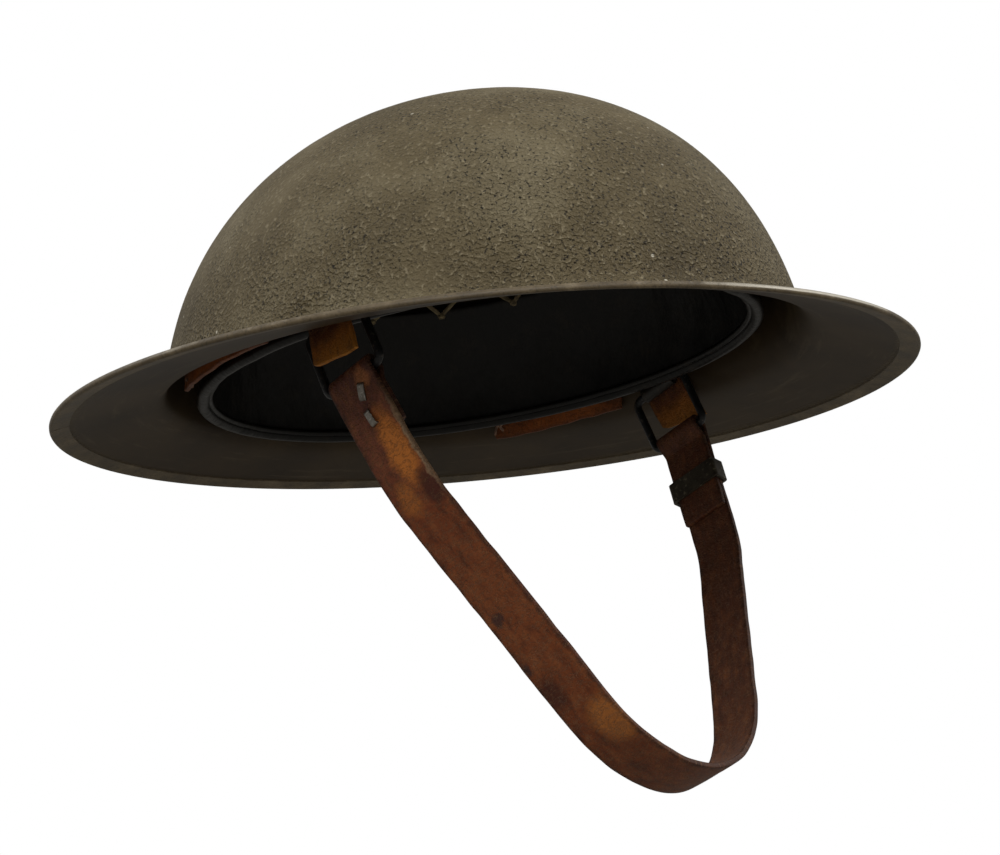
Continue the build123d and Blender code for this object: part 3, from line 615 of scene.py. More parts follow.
def makeChinStrap():
    form = strapForm
    rightFold = foldMoves(form["staples"]["tail"])
    legs = [legMoves(form[end]) for end in ("staples", "slide")]
    moves = rightFold + legs[0] + (foldMoves(form["slide"]["tail"]) + legs[1])[::-1]
    heading = 90 + form["staples"]["lean"]
    trial = walkRoute((0, 0), heading, rightFold)
    foldRun = runLengths(trial)[-1]
    stations = walkRoute(leavePoint - Vector(trial[-1][:2]), heading, moves)
    piece, spots = growStrap("chin_strap_leather", stations, form["width"], form["rowsAcross"], -foldRun)
    lastRun = spots[-1][1]
    for vertex, (across, run) in zip(piece.data.vertices, spots):
        heading, side = stations[vertex.index // (form["rowsAcross"] + 1)][2], across / form["width"] * 2
        # narrower where it is pulled round the bail, and its tail lies a little forward with a torn end
        middle, reach = form["narrowAt"]
        forward = form["tailShift"] * easeShare((-run - form["tailFrom"]) / form["tailFrom"])
        forward -= across * form["foldNarrow"] * easeShare(1 - abs(run - middle) / reach)
        if run < -foldRun + 1:
            size, depth = form["torn"]
            tear = waver(across / size, 7.3, 0) * depth - abs(side) ** 3 * form["tornCorners"]
            vertex.co -= hangerUp * tear * mm
        if abs(side) > 0.99:
            long, short, depth = form["edge"]
            forward += (waver(run / long, side * 3, 4.1) + waver(run / short, side * 3, 1.1) * 0.4) * depth
        # between its two stiff ends the worn band is cupped and isn't quite flat
        calm = easeShare((run - form["calmAfter"]) / form["calmRun"][0])
        calm *= easeShare((lastRun - form["calmBefore"] - run) / form["calmRun"][1])
        long, short, depth = form["lift"]
        lift = (waver(run / long, side * 0.8, 9.7) + waver(run / short, side * 1.7, 3.2) * 0.25) * depth
        lift -= side * side * form["cup"]
        middle, reach, depth = form["dent"]
        dent = easeShare(1 - abs(run - middle) / reach) * (1 - abs(side)) * depth
        outwards = headingWay(heading - 90)
        out = Vector((outwards.x, 0, 0)) + hangerUp * outwards.y
        vertex.co += (hangerForward * forward + out * (lift * calm - dent)) * mm
    giveWall(piece, form["thickness"], form["cornerRound"], evenly=True)
    finishModifier(piece, "SUBSURF", levels=1, render_levels=1)
    return settle(piece, 60, "strap", "strap_leather", "chin_strap")


chinStrap = makeChinStrap()
print("stage: rivets and chin strap", len(chinStrap.data.polygons), "faces")

# Two flat staples through the fold, the lower one half pulled out. Each: its middle along the strap, length,
# shift forward, turn, and the lift of its lower end.
stapleForm = {"width": 2.3, "thickness": 0.6, "bend": 0.7, "leg": 1.1, "rise": 0.34, "cornerRound": 0.2, "bow": 0.12,
              "each": ((6.0, 5.0, 2.1, 29.0, 0.0), (14.6, 5.3, 0.4, -11.0, 0.9))}


def makeStaples():
    heading = 270 + strapForm["staples"]["lean"]
    down, out = headingWay(heading), headingWay(heading - 90)
    outwards, downwards = [Vector((way.x, 0, 0)) + hangerUp * way.y for way in (out, down)]
    leg, bend = stapleForm["leg"], stapleForm["bend"]
    depth = strapForm["thickness"] / 2 + stapleForm["rise"] - bend - leg
    staples = []
    for middle, length, forward, turn, lift in stapleForm["each"]:
        moves = [("straight", leg, 0), ("turn", bend, 90), ("straight", length - 2 * bend, 0), ("turn", bend, 90),
                 ("straight", leg, 0)]
        stations = walkRoute(leavePoint + down * (middle - length / 2) + out * depth, heading - 90, moves)
        piece, spots = growStrap("staple", stations, stapleForm["width"], 4)
        for vertex, (across, run) in zip(piece.data.vertices, spots):
            share = min(max((run - leg) / (spots[-1][1] - 2 * leg), 0), 1)
            curve = lift * share ** 2 + stapleForm["bow"] * math.sin(share * math.pi)
            turned = (downwards * across - hangerForward * (share - 0.5) * length) * math.sin(math.radians(turn))
            vertex.co += (outwards * curve + hangerForward * forward + turned) * mm
        giveWall(piece, stapleForm["thickness"], stapleForm["cornerRound"], segments=3, evenly=True)
        staples.append(piece)
    return settle(joinPieces("flat_fold_staples", staples), 50, "strap", "staple_wire", "fold_staples")


staples = makeStaples()

# Lining: oilcloth headband with a rolled hem, net and drawstring. Folds: (size round, size up, share) of the
# cloth's upright folds and small creases. Rolls: (shift in, rise, share of the radius, seed) of the hem's two rolls.
liningForm = {"sideInset": 11.5, "topInset": 14.0, "thickness": 1.6, "clothThickness": 1.1, "bandLow": 13.0,
              "bandTop": 57.0, "bandSteps": 13, "foldDepth": 0.9, "folds": ((9, 1.3, 1.0), (24, 2.5, 0.45)),
              "hemRadius": 2.4, "hemSteps": 132, "rolls": ((0.0, 0.0, 0.93, 2.2), (2.5, 0.9, 0.52, 6.1)),
              "wobble": ((14, 0.4), (31, 0.16)), "netTop": 91.0, "netRings": 6, "netMeshes": 18, "netPower": 0.72,
              "netSag": 0.5, "twineRadius": 0.9, "knot": 1.75, "stringRadius": 1.3, "stringSag": 0.8,
              "stringSteps": 48, "corners": 144, "flatWidth": 0.046, "flatLength": 0.62}


def liningAxes(z, inset=0.0):
    return bowlAxes(z, liningForm["sideInset"] + inset, liningForm["topInset"] + inset)


def ringPoint(angle, z, axes, reach=0.0):
    # a point of an oval round the helmet, reach inside it
    return Vector(((axes[0] - reach) * math.cos(angle), centreY + (axes[1] - reach) * math.sin(angle), z))


def mapRound(piece):
    # a UV map round the lining, in metres along the band and up it
    reach = (shellForm["bowlHalfWidth"] + shellForm["bowlHalfLength"]) / 2 - liningForm["sideInset"]
    angles = [math.atan2(vertex.co.y - centreY * mm, vertex.co.x) for vertex in piece.data.vertices]
    spread = surfaceMap(piece)
    for face in piece.data.polygons:
        around = [angles[index] for index in face.vertices]
        wraps = max(around) - min(around) > math.pi
        for index, vertex, angle in zip(face.loop_indices, face.vertices, around):
            angle += math.tau if wraps and angle < 0 else 0
            spread[index].uv = (angle * reach * mm, piece.data.vertices[vertex].co.z)


def makeHeadband():
    middle, low, top = liningForm["thickness"] / 2, liningForm["bandLow"], liningForm["bandTop"]
    heights = [low + (top - low) * step / liningForm["bandSteps"] for step in range(liningForm["bandSteps"] + 1)]
    piece = growBowl("oilcloth_headband", liningForm["corners"], [(*liningAxes(z, middle), z) for z in heights])
    for vertex in piece.data.vertices:
        angle = math.atan2(vertex.co.y, vertex.co.x)
        height = (vertex.co.z / mm - low) / (top - low)
        fold = sum(noise.noise(roundWay(angle, size, height * up)) * share for size, up, share in liningForm["folds"])
        vertex.co += roundWay(angle, fold * liningForm["foldDepth"] * math.sin(height * math.pi)) * mm
    mapRound(piece)
    giveWall(piece, liningForm["clothThickness"], evenly=True)
    finishModifier(piece, "SUBSURF", levels=1, render_levels=1)
    return settle(piece, 60, "helmet", "oilcloth", "headband")


def sweptTube(name, points, radius, closed=False, roundness=2):
    # a tube along points in millimetres, made a mesh
    curve = bpy.data.curves.new(name, "CURVE")
    curve.dimensions = "3D"
    curve.bevel_depth = radius * mm
    curve.bevel_resolution = roundness
    curve.use_fill_caps = not closed
    spline = curve.splines.new("NURBS")
    spline.points.add(len(points) - 1)
    for place, point in zip(spline.points, points):
        place.co = (*(point * mm), 1)
    spline.order_u = 3 if len(points) < 6 else 4
    spline.use_endpoint_u = not closed
    spline.use_cyclic_u = closed
    spline.resolution_u = 4
    piece = bpy.data.objects.new(name, curve)
    scene.collection.objects.link(piece)
    takeUp(piece)
    bpy.ops.object.convert(target="MESH")
    return bpy.context.object


def makeHem():
    # the cloth is rolled on itself: a thick roll, and a thinner one on its inner side
    axes, rolls = liningAxes(liningForm["bandLow"]), []
    for shift, rise, share, seed in liningForm["rolls"]:
        points = []
        for step in range(liningForm["hemSteps"]):
            angle = step * math.tau / liningForm["hemSteps"]
            wobble = sum(noise.noise(roundWay(angle, size, seed)) * depth for size, depth in liningForm["wobble"])
            points.append(ringPoint(angle, liningForm["bandLow"] + rise + wobble * 0.6, axes,
                                    liningForm["hemRadius"] + shift - wobble))
        rolls.append(sweptTube("roll", points, liningForm["hemRadius"] * share, closed=True, roundness=3))
    piece = joinPieces("headband_rolled_hem", rolls)
    mapRound(piece)
    closeUp(piece)
    return settle(piece, 60, "helmet", "oilcloth")


def makeLump(radius, stretch, place, seed, detail=2):
    # one small knot, pulled out of round
    deselectAll()
    bpy.ops.mesh.primitive_ico_sphere_add(subdivisions=detail, radius=radius * mm)
    lump = takeNew("lump")
    for vertex in lump.data.vertices:
        swell = 1 + noise.noise(vertex.co / mm * 0.9 + Vector((seed, 0, 0))) * 0.3
        vertex.co = Vector([value * ratio * swell for value, ratio in zip(vertex.co, stretch)]) + place * mm
    return lump


def makeNet():
    # two families of twine, each rising and turning over the dome, with a knot at every crossing
    rings, meshes = liningForm["netRings"], liningForm["netMeshes"]
    foot, radius = liningForm["bandTop"] - 2.0, liningForm["twineRadius"]

    def netPlace(turns, share, sag, inset):
        z = foot + (liningForm["netTop"] - foot) * share ** liningForm["netPower"] - sag
        return ringPoint(turns * math.tau / meshes, z, liningAxes(z, liningForm["thickness"] / 2 + inset))

    strands, knots = [], []
    for side, _ in sides:
        for mesh in range(meshes):
            shares = [step / (rings * 2) for step in range(rings * 2 + 1)]
            points = [netPlace(mesh + side * share * rings / 2, share, liningForm["netSag"] * (step % 2), 0.0)
                      for step, share in enumerate(shares)]
            strands.append(sweptTube("strand", points, radius))
    for step in range(rings + 1):
        for mesh in range(meshes):
            place = netPlace(mesh + step % 2 / 2, step / rings, 0.0, 0.2)
            knots.append(makeLump(radius * liningForm["knot"], (1, 1, 0.85), place, mesh * 3.7 + step))
    return settle(joinPieces("knotted_twine_net", strands + knots), 60, "helmet", "net_twine", "crown_net")


def makeDrawstring():
    # a cord through the mouth of the net, tied in one knot with short ends
    radius, count = liningForm["stringRadius"], liningForm["stringSteps"]
    points = []
    for step in range(count):
        angle = step * math.tau / count
        sag = abs(math.sin(angle * liningForm["netMeshes"] / 4)) * liningForm["stringSag"]
        points.append(ringPoint(angle, liningForm["netTop"] + radius - sag, liningAxes(liningForm["netTop"]), radius))
    parts = [sweptTube("ring", points, radius, closed=True),
             makeLump(radius * 2.1, (0.9, 1.3, 1.0), points[0], 5.5, detail=3)]
    for side, _ in sides:
        end = [points[0] + Vector(shift) for shift in ((0, 0, 0), (-2, side * 2.5, -2), (-3, side * 4, -5),
                                                       (-3.5, side * 4.5, -8))]
        parts.append(sweptTube("end", end, radius * 0.9))
    return settle(joinPieces("net_drawstring", parts), 60, "helmet", "drawstring_twine", "drawstring")


headband = makeHeadband()
hem = makeHem()
net = makeNet()
drawstring = makeDrawstring()
clothArea = sum(face.area for face in headband.data.polygons) / 2
print("stage: staples, headband, hem, net and drawstring", round(clothArea, 4), "m2 of cloth",
      len(net.data.polygons), "net faces")

# Rear leather: two short straps against the shell, each laced at its rear end. Holes: (along, up) from that end.
rearForm = {"width": 19.5, "thickness": 1.62, "depth": 1.8, "lowZ": 9.4, "frontY": 8.0, "backY": 61.0, "inset": 1.3,
            "steps": 40, "rows": 10, "sag": 1.5, "ragged": 0.35, "torn": 0.8, "slack": 0.6, "standOff": 0.7,
            "cornerRound": 0.35, "twine": 0.55, "holes": ((-3.2, 3.0), (-3.4, 8.5)),
            "loops": ((0.4, 1.5), (1.9, 1.3), (2.8, 1.6)), "tail": ((0, 0, 0), (1.2, 1.4, -1.6), (1, 1.9, -4.4))}


def growGrid(name, form):
    deselectAll()
    bpy.ops.mesh.primitive_grid_add(x_subdivisions=form["steps"], y_subdivisions=form["rows"], size=1)
    return takeNew(name)


def rearPlace(side, y, rise, depth):
    # a point of the strap: rise above its lower edge, depth inwards from the wall
    z = rearForm["lowZ"] + rise - rearForm["sag"] * easeShare((y - 20) / 40)
    halfWidth, halfLength = bowlAxes(z, rearForm["inset"] + depth, rearForm["inset"] + depth)
    return Vector((side * halfWidth * math.sqrt(1 - ((y - centreY) / halfLength) ** 2), y, z))


def makeRearStrap(side, name):
    piece, spots = growGrid(name + "_rear_strap", rearForm), []
    for vertex in piece.data.vertices:
        share, height = vertex.co.x + 0.5, vertex.co.y + 0.5
        y = rearForm["frontY"] + (rearForm["backY"] - rearForm["frontY"]) * share
        rise = rearForm["width"] * height
        spots.append((rise, y))
        edge = waver(y / 6, height * 3 + side, 2.2) * rearForm["ragged"] if abs(height - 0.5) > 0.49 else 0
        torn = waver(rise / 3, side * 4, 5.2) * rearForm["torn"] if abs(share - 0.5) > 0.49 else 0
        slack = max(waver(y / 9, height, 7 + side), 0) * rearForm["slack"]
        slack += easeShare(share * 6 - 5) * rearForm["standOff"]
        vertex.co = rearPlace(side, y + torn, rise + edge, rearForm["depth"] / 2 + slack) * mm
    mapSurface(piece, spots)
    giveWall(piece, rearForm["thickness"], rearForm["cornerRound"])
    return piece


def makeLacing(side):
    # a stitch of thin twine through two holes near the rear end, with a small knot of three loops
    twine = rearForm["twine"]
    ends, deep = [[rearPlace(side, rearForm["backY"] + shift, rise, depth) for shift, rise in rearForm["holes"]]
                  for depth in (rearForm["depth"] + 1.0, 0.4)]
    middle = (ends[0] + ends[1]) / 2 + Vector((-side * 0.5, 0.3, 0))
    parts = [sweptTube("stitch", [deep[0], ends[0], middle, ends[1], deep[1]], twine)]
    for turn, reach in rearForm["loops"]:
        angles = [step * math.tau / 6 for step in range(6)]
        points = [middle + Vector((-side * (0.5 + 0.35 * math.sin(angle + turn)), reach * math.cos(angle),
                                   reach * 0.8 * math.sin(angle + turn))) for angle in angles]
        parts.append(sweptTube("loop", points, twine, closed=True))
    tail = [middle + Vector((-side * x, y, z)) for x, y, z in rearForm["tail"]]
    return parts + [sweptTube("tail", tail, twine * 0.9)]


rearStraps = settle(joinPieces("rear_leather_straps", [makeRearStrap(*side) for side in sides]), 50,
                    "helmet", "rear_leather", "rear_strap")
lacing = settle(joinPieces("rear_strap_lacing", makeLacing(-1) + makeLacing(1)), 60, "helmet", "net_twine")

# Leather tabs on the shell side of each bail, wider and torn at the foot. Rear and front: (down, forward) of each
# edge from the rivet, and foot: (share across, down) of the torn end.
tabForm = {"topRadius": 6.0, "thickness": 1.15, "middleX": 95.92, "bendRadius": 8.0, "splay": 13.0, "steps": 18,
           "rows": 26, "rear": ((0, -5.8), (4.5, -5.4), (7.5, -7.6), (14, -8.4), (30, -8.8)),
           "front": ((0, 5.8), (4.5, 5.6), (7.5, 8.8), (18, 9.8), (30, 10.1)),
           "foot": ((0, 22.8), (0.12, 24.2), (0.3, 25.0), (0.45, 25.7), (0.62, 26.9), (0.8, 27.7), (1.0, 28.1)),
           "ragged": 0.22, "swell": 0.1, "cornerRound": 0.3}


def makeTab(side, sideName):
    piece, spots, pivot = growGrid(sideName + "_tab_leather", tabForm), [], hanger["rivetToBail"]
    splay, bend, top = math.radians(tabForm["splay"]), tabForm["bendRadius"], tabForm["topRadius"]
    for vertex in piece.data.vertices:
        across = vertex.co.x + 0.5
        foot = alongPoints(tabForm["foot"], across) + waver(across * 9, side, 3.1) * tabForm["ragged"]
        down = -top + (foot + top) * (0.5 - vertex.co.y)
        if down < 0:
            forward = math.sqrt(max(top ** 2 - down ** 2, 1.2)) * (across * 2 - 1)
        else:
            rear, front = alongPoints(tabForm["rear"], down), alongPoints(tabForm["front"], down)
            forward = rear + (front - rear) * across
            if abs(across - 0.5) > 0.49:
                forward += waver(down / 4, side * 5 + across, 6.6) * tabForm["ragged"]
        spots.append((forward, down))
        # straight down to the bail's pivot, and from there it stands outwards
        run = max(down - pivot, 0)
        angle = min(run / bend, splay)
        out = bend * (1 - math.cos(angle)) + (run - bend * angle) * math.sin(angle)
        drop = min(down, pivot) + bend * math.sin(angle) + (run - bend * angle) * math.cos(angle)
        out += waver(forward / 6, down / 6, side) * tabForm["swell"] * easeShare((down - 8) / 6)
        vertex.co = hangerPlace(side * (tabForm["middleX"] + out), -drop, forward) * mm
    mapSurface(piece, spots)
    giveWall(piece, tabForm["thickness"], tabForm["cornerRound"])
    return settle(piece, 50, sideName + "_hanger", "tab_leather", sideName + "_hanger_tab")


tabs = [makeTab(*side) for side in sides]
print("stage: rear straps, lacing and tabs")

# Felt pad, crossed tapes and rubber cushions. Stitches: a box of them holds each end of a tape.
padForm = {"radius": 30.0, "thickness": 7.5, "depth": 6.0, "lift": 0.2, "corners": 48, "round": 1.4, "ring": 4.5,
           "rings": 5, "crown": 2.1, "sink": 0.3, "hollow": 0.2, "grain": (6.0, 0.12)}
tapeForm = {"width": 12.0, "thickness": 1.2, "cloth": 0.9, "lowZ": 44.0, "sideInset": 10.05, "topInset": 9.1,
            "steps": 72, "rows": 6, "offsets": ((False, -0.1), (True, 0.25)), "mapHalf": 120.0, "cupRadius": 60.0,
            "stitchRadius": 0.22, "stitchLength": 1.0, "stitchHeights": (46.0, 54.0), "stitchReach": 4.6,
            "stitchOut": 0.6, "stitchRows": 5, "stitchColumns": 6}
cushionForm = {"count": 12, "length": 15.0, "bore": 2.6, "middleZ": 43.0, "gap": 0.4, "corners": 24,
               "cornerRound": 0.5}


def makePad():
    radius, depth = padForm["radius"], padForm["depth"]
    z = shellForm["bowlBaseZ"] + shellForm["bowlHeight"] - shellForm["wall"] - padForm["thickness"]
    middle = Vector((0, centreY, z + depth / 2 + padForm["lift"]))
    deselectAll()
    bpy.ops.mesh.primitive_cylinder_add(vertices=padForm["corners"], radius=radius * mm, depth=depth * mm,
                                        location=middle * mm)
    piece = takeNew("felt_crown_pad")
    bpy.ops.object.transform_apply(location=True)
    bpy.ops.object.mode_set(mode="EDIT")
    bpy.ops.mesh.select_all(action="SELECT")
    bpy.ops.mesh.bevel(offset=padForm["round"] * mm, segments=2, affect="EDGES")
    bpy.ops.mesh.select_mode(type="FACE")
    bpy.ops.mesh.select_all(action="DESELECT")
    bpy.ops.object.mode_set(mode="OBJECT")
    for face in piece.data.polygons:
        face.select = len(face.vertices) > padForm["corners"] / 2
    bpy.ops.object.mode_set(mode="EDIT")
    for _ in range(padForm["rings"]):
        bpy.ops.mesh.inset(thickness=padForm["ring"] * mm)
    bpy.ops.object.mode_set(mode="OBJECT")
    size, grain = padForm["grain"]
    for vertex in piece.data.vertices:
        reach = math.hypot(vertex.co.x, vertex.co.y - centreY * mm) / mm / radius
        rise = (vertex.co.z / mm - middle.z) / (depth / 2)
        vertex.co.z -= (reach ** 2 * padForm["crown"] + padForm["sink"]) * max(rise, 0) * mm
        vertex.co.z -= (1 - reach ** 2) * padForm["hollow"] * max(-rise, 0) * mm
        vertex.co.z += noise.noise(vertex.co / mm / size) * grain * mm
    finishModifier(piece, "SUBSURF", levels=1, render_levels=1)
    settle(piece, 60, "helmet", "felt", "crown_pad")
    return piece


def tapeAxes(z, inset):
    return bowlAxes(z, tapeForm["sideInset"] + inset, tapeForm["topInset"] + inset)


def crossPlace(lengthwise, along, cross, z):
    # a point of the tape that runs along the helmet, or of the one across it
    return Vector((cross, centreY + along, z) if lengthwise else (along, centreY + cross, z))


def makeTapes():
    bands, stitches = [], []
    inset, half, radius = tapeForm["thickness"] / 2, tapeForm["steps"] // 2, tapeForm["stitchRadius"]
    heights = list(enumerate(bowlHeights(tapeForm["lowZ"], tapeForm["topInset"] + inset, half, 89.9)))
    low, high = tapeForm["stitchHeights"]
    rowZ = [low + (high - low) * step / tapeForm["stitchRows"] for step in range(tapeForm["stitchRows"] + 1)]
    columns = [tapeForm["stitchReach"] * (2 * step / tapeForm["stitchColumns"] - 1)
               for step in range(tapeForm["stitchColumns"] + 1)]
    box = [(cross, z, False) for cross in (columns[0], columns[-1]) for z in rowZ]
    box += [(cross, z, True) for z in (low, high) for cross in columns[1:-1]]
    long = tapeForm["stitchLength"] / radius
    for lengthwise, offset in tapeForm["offsets"]:
        band, spots = growGrid("tape", tapeForm), []
        for vertex in band.data.vertices:
            share, cross = vertex.co.x * 2, vertex.co.y * tapeForm["width"]
            spots.append((cross, share * tapeForm["mapHalf"]))
            z = alongPoints(heights, (1 - abs(share)) * half)
            reach = math.copysign(tapeAxes(z, inset)[lengthwise], share)
            vertex.co = crossPlace(lengthwise, reach, cross, z - cross ** 2 / 2 / tapeForm["cupRadius"] - offset) * mm
        mapSurface(band, spots)
        bands.append(band)
        for end, _ in sides:
            for cross, z, flat in box:
                reach = end * tapeAxes(z, inset + tapeForm["stitchOut"])[lengthwise]
                place = crossPlace(lengthwise, reach, cross, z - offset)
                stretch = [1, 1, 1]
                stretch[(0 if lengthwise else 1) if flat else 2] = long
                stitches.append(makeLump(radius, stretch, place, cross + z, detail=1))
    stitching = settle(joinPieces("tape_stitching", stitches), 0, "helmet", "net_twine")
    piece = joinPieces("cotton_cradle_tapes", bands)
    finishModifier(piece, "SOLIDIFY", thickness=tapeForm["cloth"] * mm, offset=0)
    return settle(piece, 50, "helmet", "cotton_tape", "cradle_tapes"), stitching


def makeCushions():
    length, tubes = cushionForm["length"], []
    for index in range(cushionForm["count"]):
        angle = (index + 0.5) * math.tau / cushionForm["count"]
        # the tube stands halfway between the shell and the headband, and touches neither
        spots = []
        for z in [cushionForm["middleZ"] + rise * length for rise in (-0.5, 0, 0.5)]:
            axes = (bowlAxes(z, shellForm["wall"], shellForm["wall"]), liningAxes(z))
            spots.append([ringPoint(angle, z, pair) for pair in axes])
        low, middle, high = [(wall + band) / 2 for wall, band in spots]
        outward = Vector((math.cos(angle) / shellForm["bowlHalfWidth"], math.sin(angle) / shellForm["bowlHalfLength"],
                          0)).normalized()
        axis = (high - low).normalized()
        square = (outward - axis * outward.dot(axis)).normalized()
        radius = abs((spots[1][0] - spots[1][1]).dot(square)) / 2 - cushionForm["gap"]
        deselectAll()
        bpy.ops.mesh.primitive_circle_add(vertices=cushionForm["corners"], radius=radius * mm)
        tube = takeNew("cushion")
        bpy.ops.object.mode_set(mode="EDIT")
        bpy.ops.mesh.select_all(action="SELECT")
        bpy.ops.mesh.extrude_edges_move(TRANSFORM_OT_translate={"value": (0, 0, length * mm)})
        bpy.ops.object.mode_set(mode="OBJECT")
        tube.data.transform(Matrix.Translation((0, 0, -length / 2 * mm)))
        giveWall(tube, radius - cushionForm["bore"], cushionForm["cornerRound"], segments=3, offset=-1)
        turn = axis.to_track_quat("Z", "Y").to_matrix().to_4x4()
        tube.data.transform(Matrix.Translation(middle * mm) @ turn)
        tubes.append(tube)
    return settle(joinPieces("rubber_tube_cushions", tubes), 50, "helmet", "rubber", "rubber_cushions")


crownPad = makePad()
cradleTapes, tapeStitching = makeTapes()
cushions = makeCushions()
print("stage: pad, tapes and cushions")


def perMm(size):
    # a pattern's scale on coordinates in metres, from its size in millimetres
    return 1 / (size * mm)


def finishSkin(material, add, colour, rough, height, bump, strength=1.0, metallic=0.0, gloss=0.5):
    # the surface itself, with a relief that is bump millimetres deep
    normal = add("Bump", {"Height": height, "Strength": strength, "Distance": bump * mm})
    skin = add("BsdfPrincipled", {"Base Color": colour, "Roughness": rough, "Metallic": metallic,
                                  "Specular IOR Level": gloss, "Normal": normal})
    add("OutputMaterial", {"Surface": skin})
    return material


# Olive-brown paint with fine sand in it, sprayed on pressed steel. The sand gives it a matt face of small lumps
# that throw tiny shadows, thicker low down and at the front. Where it holds no sand, under the brim, it is a
# satin with long rub marks that follow the edge, and its darker tone there is painted shade.
# Noise: (size, detail, roughness) of its patches, lumps, fine grain, pits and sand. The pits' dark tone in marks is
# painted shade between the sand grains, together with dirt.
# Thick: (axis, from, to, least, most) of the sand, low on the bowl and towards its front, with places in metres.
paint = {"noise": ((46.0, 5.0, 0.6), (1.35, 1.5, 0.5), (0.55, 1.0, 0.5), (1.05, 1.0, 0.5), (32.2, 3.0, 0.6)),
         "thick": (("Z", 0.1, 0.02, 0.0, 0.16), ("Y", 0.09, -0.1, -0.16, 0.16)), "chip": 13.0, "relief": 0.85,
         "tones": ((0.32, "4f4530"), (0.5, "5f543c"), (0.68, "71674f")), "sandRough": 0.7, "satinRough": 0.52,
         # the satin tones under the brim are darkened with painted shade
         "marks": ("94896f", "1c170e", "d2ccba"), "shadedSatin": ((0.35, "2b1f0d"), (0.65, "3e301b")),
         "rubHex": "6a5d47", "rubLong": 3.0, "rubNarrow": 38.0, "gloss": 0.25}


def sandedPaint(name, wholeCoat=False):
    material, add = newMaterial(name)
    place = add("TexCoord").outputs["Object"]
    patch, lumps, fine, pitShadeNoise, thick = [
        add("TexNoise", {"Vector": place, "Scale": perMm(size), "Detail": detail, "Roughness": rough})
        for size, detail, rough in paint["noise"]]
    split = add("SeparateXYZ", {0: place}).outputs
    for axis, first, last, least, most in paint["thick"]:
        share = add("MapRange", {"Value": split[axis], "From Min": first, "From Max": last, "To Min": least,
                                 "To Max": most})
        thick = add("Math", {0: thick, 1: share}, operation="ADD")
    sand = add("MapRange", {"Value": thick, "From Min": 0.42, "From Max": 0.74, "To Min": 0.18, "To Max": 1.0})
    colour = add("ValToRGB", {0: patch}, paint["tones"])
    # pale lumps, dark pits in the sand that are painted shade between the grains together with dirt, and a few bright
    # chips
    chips = add("TexVoronoi", {"Vector": place, "Scale": perMm(paint["chip"])})
    pitShadeMask = add("ValToRGB", {0: pitShadeNoise}, [(0.31, 0.95), (0.42, 0.0)])
    masks = (add("ValToRGB", {0: lumps}, [(0.56, 0.0), (0.74, 0.55)]),
             add("Math", {0: pitShadeMask, 1: sand}, operation="MULTIPLY"),
             add("ValToRGB", {0: chips}, [(0.03, 0.8), (0.055, 0.0)]))
    for mask, tone in zip(masks, paint["marks"]):
        colour = add("Mix", {0: mask, 6: colour, 7: tone}, data_type="RGBA")
    height = add("ValToRGB", {0: lumps}, [(0.36, 0.0), (0.68, 1.0)])
    height = add("Math", {0: fine, 1: 0.35, 2: height}, operation="MULTIPLY_ADD")
    height = add("Math", {0: height, 1: sand}, operation="MULTIPLY")
    if wholeCoat:
        return finishSkin(material, add, colour, paint["sandRough"], height, paint["relief"], gloss=paint["gloss"])
    # rub marks run round the brim: long along the edge and narrow across it
    ring = add("VectorMath", {0: place, 1: (*[perMm(half) for half in brimHalf], 0)}, operation="MULTIPLY")
    way = add("VectorMath", {0: ring}, operation="NORMALIZE")
    long = add("VectorMath", {0: way, 3: paint["rubLong"]}, operation="SCALE")
    reach = add("VectorMath", {0: ring}, operation="LENGTH")
    deep = add("Math", {0: reach, 1: paint["rubNarrow"]}, operation="MULTIPLY")
    rub = add("VectorMath", {0: long, 1: add("CombineXYZ", {"Z": deep})}, operation="ADD")
    rubNoise = add("TexNoise", {"Vector": rub, "Scale": 1.0, "Detail": 6.0, "Roughness": 0.68})
    rubMask = add("ValToRGB", {0: rubNoise}, [(0.56, 0.0), (0.78, 0.55)])
    # the satin tones under the brim are darkened with painted shade
    shadedSatin = add("ValToRGB", {0: patch}, paint["shadedSatin"])
    shadedSatin = add("Mix", {0: rubMask, 6: shadedSatin, 7: paint["rubHex"]}, data_type="RGBA")
    coat = add("Attribute", attribute_name="sandCoat").outputs["Fac"]
    colour = add("Mix", {0: coat, 6: shadedSatin, 7: colour}, data_type="RGBA")
    height = add("Math", {0: height, 1: coat}, operation="MULTIPLY")
    rough = add("MapRange", {"Value": coat, "To Min": paint["satinRough"], "To Max": paint["sandRough"]})
    return finishSkin(material, add, colour, rough, height, paint["relief"], gloss=paint["gloss"])


